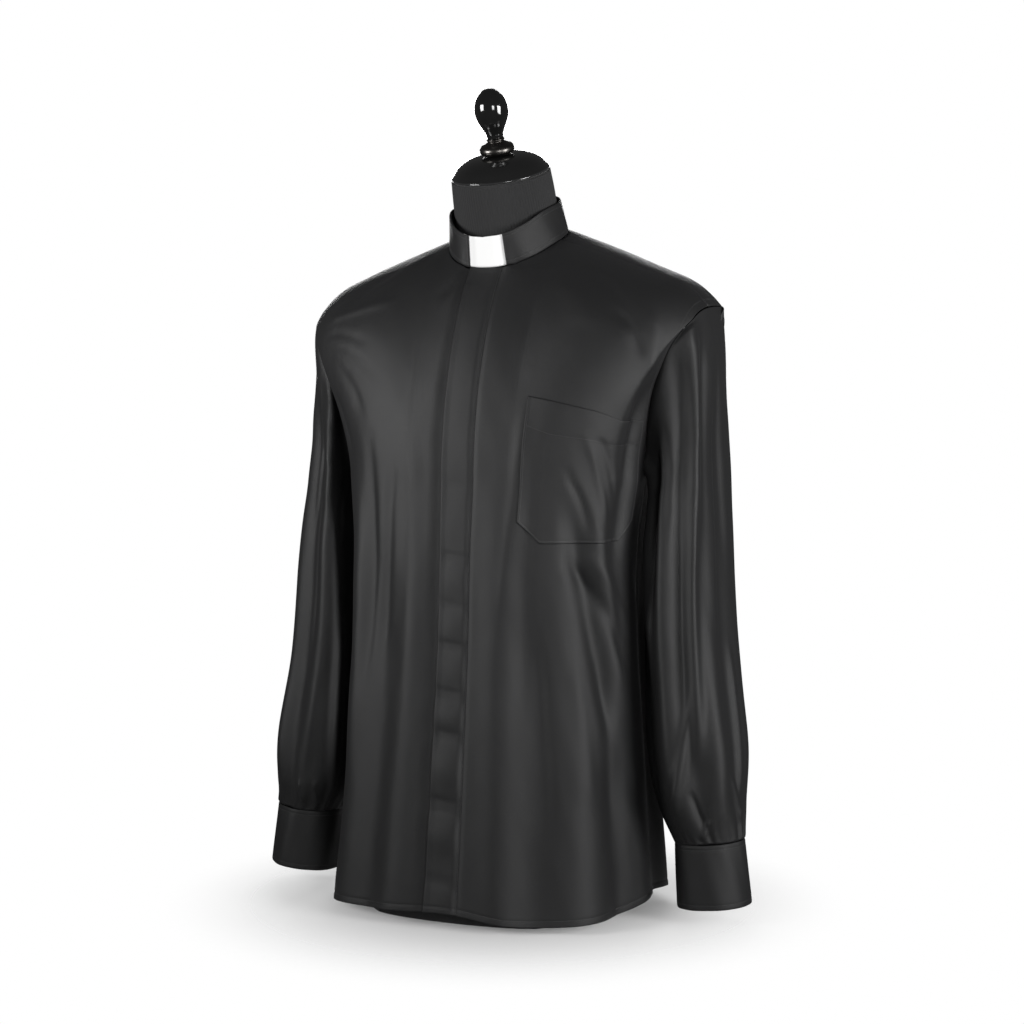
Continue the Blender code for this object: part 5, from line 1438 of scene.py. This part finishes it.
# %% Turned pieces
CAP_PROFILE = (
    # radius, height above the neck
    (0.0000, 0.0221), (0.0120, 0.0215), (0.0240, 0.0206), (0.0330, 0.0186), (0.0410, 0.0152),
    (0.0480, 0.0104), (0.0525, 0.0052), (0.0548, 0.0020), (0.0543, 0.0004), (0.0000, 0.0004),
)
RIM_BEAD = {"radius": 0.0543, "height": 0.0016, "thick": 0.0011}
FINIAL_FOOT = 0.0215
KNOB_PROFILE = (
    # radius, height above the cap
    (0.0000, 0.0735), (0.0060, 0.0721), (0.0104, 0.0688), (0.0144, 0.0645), (0.0170, 0.0598),
    (0.0185, 0.0542), (0.0189, 0.0474), (0.0175, 0.0400), (0.0147, 0.0335), (0.0116, 0.0275),
    (0.0096, 0.0228), (0.0086, 0.0188), (0.0000, 0.0187),
)
FOOT_PROFILE = (
    # radius, height above the cap
    (0.0000, 0.0187), (0.0088, 0.0185), (0.0100, 0.0174), (0.0098, 0.0160), (0.0094, 0.0152),
    (0.0108, 0.0140), (0.0140, 0.0123), (0.0172, 0.0108), (0.0190, 0.0087), (0.0196, 0.0060),
    (0.0188, 0.0034), (0.0165, 0.0014), (0.0120, 0.0004), (0.0000, 0.0004),
)


def turned(name, profile, finish, base, samples, node_name=None):
    """Sweeps (radius, height), as smooth curves of their shared chord length, round the leaning axis."""
    table = np.array(profile)
    chord = np.concatenate([[0], np.cumsum(np.linalg.norm(np.diff(table, axis=0), axis=1))])
    along = np.unique(np.concatenate([np.linspace(0, chord[-1], samples), chord]))
    radius = np.maximum(smooth(chord, table[:, 0], along), 0)
    height = smooth(chord, table[:, 1], along) + base
    turn, r = np.meshgrid(np.linspace(0, 2 * math.pi, 97)[:-1], radius)
    h = np.broadcast_to(height[:, None], r.shape)
    aside = np.array([1.0, 0, 0]) * (r * np.sin(turn))[..., None]
    aside = aside - NECK_ACROSS * (r * np.cos(turn))[..., None]
    points = NECK_TOP + NECK_AXIS * h[..., None] + aside
    mesh = grid_mesh(name, points, True)
    piece = place(name, mesh, finish)
    weld_poles(piece)
    if node_name:
        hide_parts(node_name)


def weld_poles(piece):
    """Joins the repeated points of a pole, and turns the faces outwards."""
    skin = bmesh.new()
    skin.from_mesh(piece.data)
    bmesh.ops.remove_doubles(skin, verts=skin.verts, dist=1e-6)
    bmesh.ops.recalc_face_normals(skin, faces=skin.faces)
    skin.to_mesh(piece.data)
    skin.free()
    piece.data.shade_smooth()


turned("neck_cap_dome", CAP_PROFILE, cap_lacquer, 0.0, 90, "neck_cap")
around = np.linspace(0, 2 * math.pi, 17)[::-1]
bead_radius = RIM_BEAD["radius"] + RIM_BEAD["thick"] * np.cos(around)
bead_height = RIM_BEAD["height"] + RIM_BEAD["thick"] * np.sin(around)
turned("neck_cap_rim", np.stack([bead_radius, bead_height], axis=-1), rim_lacquer, 0.0, 33)
turned("finial_knob", KNOB_PROFILE, knob_lacquer, FINIAL_FOOT, 120, "finial")
turned("finial_foot", FOOT_PROFILE, dark_metal, FINIAL_FOOT, 130)

# %% [markdown]
# ## Topstitching
#
# Every seam that shows on a shirt is stitched again near its edge. A line of texture would do from afar, but
# near to, a stitch is a short raised thread that dips into the cloth at both ends. Each row of stitches is
# one mesh: the same small spindle at even steps along a line on the surface, all computed together.

# %% Stitch rows
STITCH_PITCH, STITCH_LONG, STITCH_THICK = 0.0027, 0.0021, 0.00017
STITCH_RINGS, STITCH_SIDES = 4, 5


def stitch_mesh(points, normals):
    """Spindles of a few rings and sides: radius and height fall off towards both ends of each stitch."""
    way = np.concatenate([[0], np.cumsum(np.linalg.norm(np.diff(points, axis=0), axis=1))])
    at = np.arange(STITCH_PITCH, way[-1] - STITCH_PITCH / 2, STITCH_PITCH)
    centre = np.stack([np.interp(at, way, points[:, k]) for k in range(3)], axis=-1)
    ahead = np.stack([np.interp(at + 0.0005, way, points[:, k]) for k in range(3)], axis=-1)
    before = np.stack([np.interp(at - 0.0005, way, points[:, k]) for k in range(3)], axis=-1)
    out = unit(np.stack([np.interp(at, way, normals[:, k]) for k in range(3)], axis=-1))
    tangent = unit(ahead - before)
    side = unit(np.cross(out, tangent))
    step = np.array([-1.0, -0.5, 0.5, 1.0])
    size = np.array([0.45, 1.0, 1.0, 0.45]) * STITCH_THICK
    lift = np.array([0.00002, 0.00022, 0.00022, 0.00002])
    a = np.arange(STITCH_SIDES) * 2 * math.pi / STITCH_SIDES
    spindle = (
        centre[:, None, None, :]
        + tangent[:, None, None, :] * (step * STITCH_LONG / 2)[None, :, None, None]
        + side[:, None, None, :] * (size[:, None] * np.cos(a))[None, :, :, None]
        + out[:, None, None, :] * (lift[:, None] + size[:, None] * np.sin(a))[None, :, :, None]
    )
    index = np.arange(STITCH_RINGS * STITCH_SIDES).reshape(STITCH_RINGS, STITCH_SIDES)
    wrap = np.roll(index, -1, axis=1)
    walls = np.stack([index[:-1], index[1:], wrap[1:], wrap[:-1]], axis=-1).reshape(-1, 4)
    first = index.size * np.arange(len(at))[:, None, None]
    quads = (walls[None] + first).reshape(-1, 4)
    ends = np.stack([index[0], index[-1][::-1]])
    caps = (ends[None] + first).reshape(-1, STITCH_SIDES)
    return spindle.reshape(-1, 3), quads, caps


def stitches(name, rows):
    """One piece of thread work from several rows, each a line of points with its normals."""
    verts, faces, start = [], [], 0
    for points, normals in rows:
        v, quads, caps = stitch_mesh(points, normals)
        verts.append(v)
        faces += (quads + start).tolist() + (caps + start).tolist()
        start += len(v)
    mesh = bpy.data.meshes.new(name)
    mesh.from_pydata(np.concatenate(verts).tolist(), [], faces)
    mesh.shade_smooth()
    piece = place(name, mesh, sewing_thread)
    print(name, start // (STITCH_RINGS * STITCH_SIDES), "stitches")
    return piece


def on_body(phi, rise, out=0.0):
    """A line on the body's surface, with its normals."""
    phi, rise = np.broadcast_arrays(phi, rise)
    return body(phi, rise, out), body_normal(phi, rise)


def on_grid(points, row=None, column=None, inside=None):
    """A row or column of a grid, with normals from its neighbours that look away from the inside."""
    around, up = np.gradient(points, axis=1), np.gradient(points, axis=0)
    normals = unit(np.cross(around, up))
    if float((normals * (points - inside)).sum()) < 0:
        normals = -normals
    pick = (slice(None), column) if row is None else (row, slice(None))
    return points[pick], normals[pick]


def nearest(values, wanted):
    """The index of the value nearest to the one wanted."""
    return int(np.argmin(np.abs(values - wanted)))


STRIP_STITCH, POCKET_STITCH = 0.955, 2
strip_line = on_grid(strip_points, column=nearest(across, STRIP_STITCH), inside=inside_of(strip_points))
strip_thread = stitches("placket_stitches", [strip_line])

pocket_inside = inside_of(pocket_points)
mouth_row = nearest(v, 1 - POCKET_HEM)
pocket_thread = stitches("pocket_stitches", [
    on_grid(pocket_points, column=POCKET_STITCH, inside=pocket_inside),
    on_grid(pocket_points, column=-1 - POCKET_STITCH, inside=pocket_inside),
    on_grid(pocket_points, row=POCKET_STITCH, inside=pocket_inside),
    on_grid(pocket_points, row=mouth_row, inside=pocket_inside),
])

HEM_STITCH_ROW = nearest(HEM_ROWS / ROWS_BELOW * UNDERARM_Z, HEM_FOLD)
hem_left = on_grid(left_points, row=HEM_STITCH_ROW, inside=inside_of(left_points))
hem_right = on_grid(right_points, row=HEM_STITCH_ROW, inside=inside_of(right_points))
left_seen = left_points[HEM_STITCH_ROW, :, 0] > strip_points[HEM_STITCH_ROW, -1, 0]
left_hem_row = (hem_left[0][left_seen], hem_left[1][left_seen])
right_seen = right_points[HEM_STITCH_ROW, :, 0] < strip_points[HEM_STITCH_ROW, 0, 0]
right_hem_row = (hem_right[0][right_seen], hem_right[1][right_seen])
side_rise = np.linspace(-0.93, -0.01, 300)
SIDE_STITCH, ARMHOLE_INSET, BELOW_YOKE = 1.3, 2.3, 0.012
hole_rise = np.linspace(0.03, 0.985, 200)
front_hole = hole_rise[hole_rise < YOKE_FRONT_RISE - BELOW_YOKE]
back_hole = hole_rise[hole_rise < BACK_TOPS[0] - BELOW_YOKE]


def side_row(sign):
    """The felled side seam's stitches, just in front of the seam."""
    return on_body(sign * (90 - SIDE_STITCH), side_rise)


def hole_row(sign, rise, back=False):
    """Stitches beside the armhole, on the body's side of the seam."""
    phi = armhole_phi(rise, back)
    return on_body(sign * (phi + ARMHOLE_INSET if back else phi - ARMHOLE_INSET), rise)


left_thread = stitches("front_left_stitches", [left_hem_row, side_row(1), hole_row(1, front_hole)])
right_thread = stitches("front_right_stitches", [right_hem_row, side_row(-1), hole_row(-1, front_hole)])
back_hem = on_grid(back_points, row=HEM_STITCH_ROW, inside=inside_of(back_points))
back_rows = [back_hem, hole_row(1, back_hole, True), hole_row(-1, back_hole, True)]
back_thread = stitches("back_stitches", back_rows)

YOKE_STITCH = 0.0022
t = np.linspace(0, 1, 400)
front_line = CORNER_PHI + 0.4 + (float(armhole_phi(YOKE_FRONT_RISE)) - CORNER_PHI - 0.8) * t
front_step = seam_step(front_line, np.full(t.shape, YOKE_FRONT_RISE)) * YOKE_STITCH / SEAM_HALF_GAP
column = 90.5 + 89.5 * t
seam_rise = back_top(column)
seam_phi = towards_armhole(column, seam_rise, back=True)
back_step = seam_step(seam_phi, seam_rise) * YOKE_STITCH / SEAM_HALF_GAP
beside_back = np.linspace(BACK_TOPS[0] + 0.03, 0.985, 150)
beside_front = np.linspace(YOKE_FRONT_RISE + 0.02, 0.985, 60)
yoke_rows = []
for sign in (1, -1):
    yoke_rows.append(on_body(sign * front_line, YOKE_FRONT_RISE + front_step))
    yoke_rows.append(on_body(sign * seam_phi, seam_rise + back_step))
    yoke_rows.append(hole_row(sign, beside_back, True))
    yoke_rows.append(hole_row(sign, beside_front))
yoke_thread = stitches("yoke_stitches", yoke_rows)


def edge_rows(points, from_edge, inset, inside):
    """The rows at an inset from the first and the last edge of a band."""
    at = (nearest(from_edge, inset), nearest(from_edge[-1] - from_edge, inset))
    return [on_grid(points, row=row, inside=inside) for row in at]


collar_rows = edge_rows(collar_points, share * COLLAR_TALL, COLLAR_STITCH, inside_collar)
collar_thread = stitches("collar_stitches", collar_rows)

cuff_threads = {}
for name in MIRROR:
    turn, down, points = cuff_points[name]
    centre = points * np.array([0, 0, 1]) + np.array([MIRROR[name][0] * WRIST_X, 0, 0])
    rows = edge_rows(points, down[:, 0] * CUFF_TALL, CUFF_STITCH, centre)
    cuff_threads[name] = stitches(f"cuff_{name}_stitches", rows)

# %% [markdown]
# ## Sizes of the cut
#
# Before it was sewn, each piece of cloth was flat. Its greatest width and length and its area are measured
# here on the surface that was made, and printed to the millimetre and the square centimetre.

# %% Flat sizes
def declare(piece, points, closed=False):
    """Prints a sheet's greatest width and length and its area, all measured on its surface."""
    width, length = spread_of(np.concatenate([points, points[:, :1]], axis=1) if closed else points)
    surface = round(area_of(points, closed), 4)
    print(piece.name, "is", round(width, 3), "by", round(length, 3), "with", surface, "m2")


declare(front_left, left_points)
declare(front_right, right_points)
declare(strip, strip_points)
declare(pocket, pocket_points)
declare(back, back_points)
declare(yoke, yoke_points)
declare(band, collar_points)
declare(neck_cover, neck_points, closed=True)
for name in MIRROR:
    declare(sleeves[name], sleeve_points[name], closed=True)
    declare(facings[name], facing_points[name])
    rest, thread = [sleeves[name]], [cuff_threads[name]]
    declare(cuffs[name], cuff_points[name][2])

# %% [markdown]
# ## Floor, light and camera
#
# The shirt stands on white. Narrow boxes of light at the height of the chest face it from both front sides,
# and a wide one from behind. A pale floor that fades into the white of the world leaves only the soft shadow
# under the hem.

# %% Stage
FLOOR_RADIUS, FLOOR_Z = 3.0, -0.0005


def pale_floor():
    """A disc of white that turns transparent with its distance from the middle."""
    turn, radius = np.meshgrid(np.linspace(0, 2 * math.pi, 65)[:-1], np.linspace(0.001, FLOOR_RADIUS, 30))
    points = np.stack([radius * np.cos(turn), radius * np.sin(turn), np.full(turn.shape, FLOOR_Z)], axis=-1)
    mesh = grid_mesh("pale_floor", points, True)
    made, tree, shader = finish_named("pale_paper", (0.86, 0.86, 0.86), 0.9, Specular_IOR_Level=0.1)
    where = node(tree, "ShaderNodeTexCoord")
    away = node(tree, "ShaderNodeVectorMath", operation="LENGTH")
    tree.links.new(where.outputs["Object"], away.inputs[0])
    ramp = node(
        tree, "ShaderNodeMapRange", interpolation_type="SMOOTHSTEP", in_1=0.10, in_2=0.39, in_3=0.92, in_4=0.0
    )
    tree.links.new(away.outputs["Value"], ramp.inputs[0])
    tree.links.new(ramp.outputs[0], shader.inputs["Alpha"])
    floor = bpy.data.objects.new("pale_floor", mesh)
    bpy.context.scene.collection.objects.link(floor)
    mesh.materials.append(made)


pale_floor()

AIM = np.array([0.0116, 0.0, 0.435])


def softbox(name, azimuth, elevation, distance, size, power, spread=180, raised=0.0):
    """An area light at an angle from the front that looks at the middle of the shirt, or above it."""
    a, e = math.radians(azimuth), math.radians(elevation)
    way = np.array([math.sin(a) * math.cos(e), -math.cos(a) * math.cos(e), math.sin(e)])
    lamp = bpy.data.lights.new(name, "AREA")
    lamp.shape = "RECTANGLE"
    lamp.size, lamp.size_y = size
    lamp.energy = power
    lamp.spread = math.radians(spread)
    box = bpy.data.objects.new(name, lamp)
    box.matrix_world = looking_back(AIM + way * distance + np.array([0, 0, raised]), way)
    bpy.context.scene.collection.objects.link(box)


def looking_back(place_at, way):
    """A matrix whose Z axis is the way from the subject to the eye, with no roll."""
    right = unit(np.cross(np.array([0, 0, 1.0]), way))
    up = np.cross(way, right)
    rows = np.stack([right, up, way, place_at], axis=1)
    return Matrix([list(map(float, row)) for row in rows] + [[0, 0, 0, 1]])


softbox("key_light", -40, 6, 1.5, (0.6, 0.6), 3.9, 75, 0.19)
softbox("fill_light", 78, 6, 1.9, (0.7, 0.8), 6.2, 75, 0.08)
softbox("front_light", 38, 4, 2.6, (0.6, 0.8), 2.4, 60, 0.02)
softbox("back_light", 205, 14, 2.6, (1.6, 1.0), 46)

world = bpy.data.worlds.new("white_room")
bpy.context.scene.world = world
world.use_nodes = True
sky = world.node_tree.nodes["Background"]
sky.inputs["Color"].default_value = (1.0, 1.0, 1.0, 1)
ray = world.node_tree.nodes.new("ShaderNodeLightPath")
amount = world.node_tree.nodes.new("ShaderNodeMapRange")
AMBIENT, SEEN_WHITE = 0.05, 1.0
amount.inputs[3].default_value, amount.inputs[4].default_value = AMBIENT, SEEN_WHITE
world.node_tree.links.new(ray.outputs["Is Camera Ray"], amount.inputs[0])
world.node_tree.links.new(amount.outputs[0], sky.inputs["Strength"])
bpy.context.scene.view_settings.view_transform = "Standard"

# %% Camera
AZIMUTH, ELEVATION, DISTANCE = math.radians(24), math.radians(3), 2.3
level = math.cos(ELEVATION)
eye = np.array([math.sin(AZIMUTH) * level, -math.cos(AZIMUTH) * level, math.sin(ELEVATION)])
lens = bpy.data.cameras.new("photo_camera")
lens.lens, lens.sensor_width = 72.2, 36.0
camera = bpy.data.objects.new("photo_camera", lens)
camera.matrix_world = looking_back(AIM + eye * DISTANCE, eye)
bpy.context.scene.collection.objects.link(camera)
bpy.context.scene.camera = camera
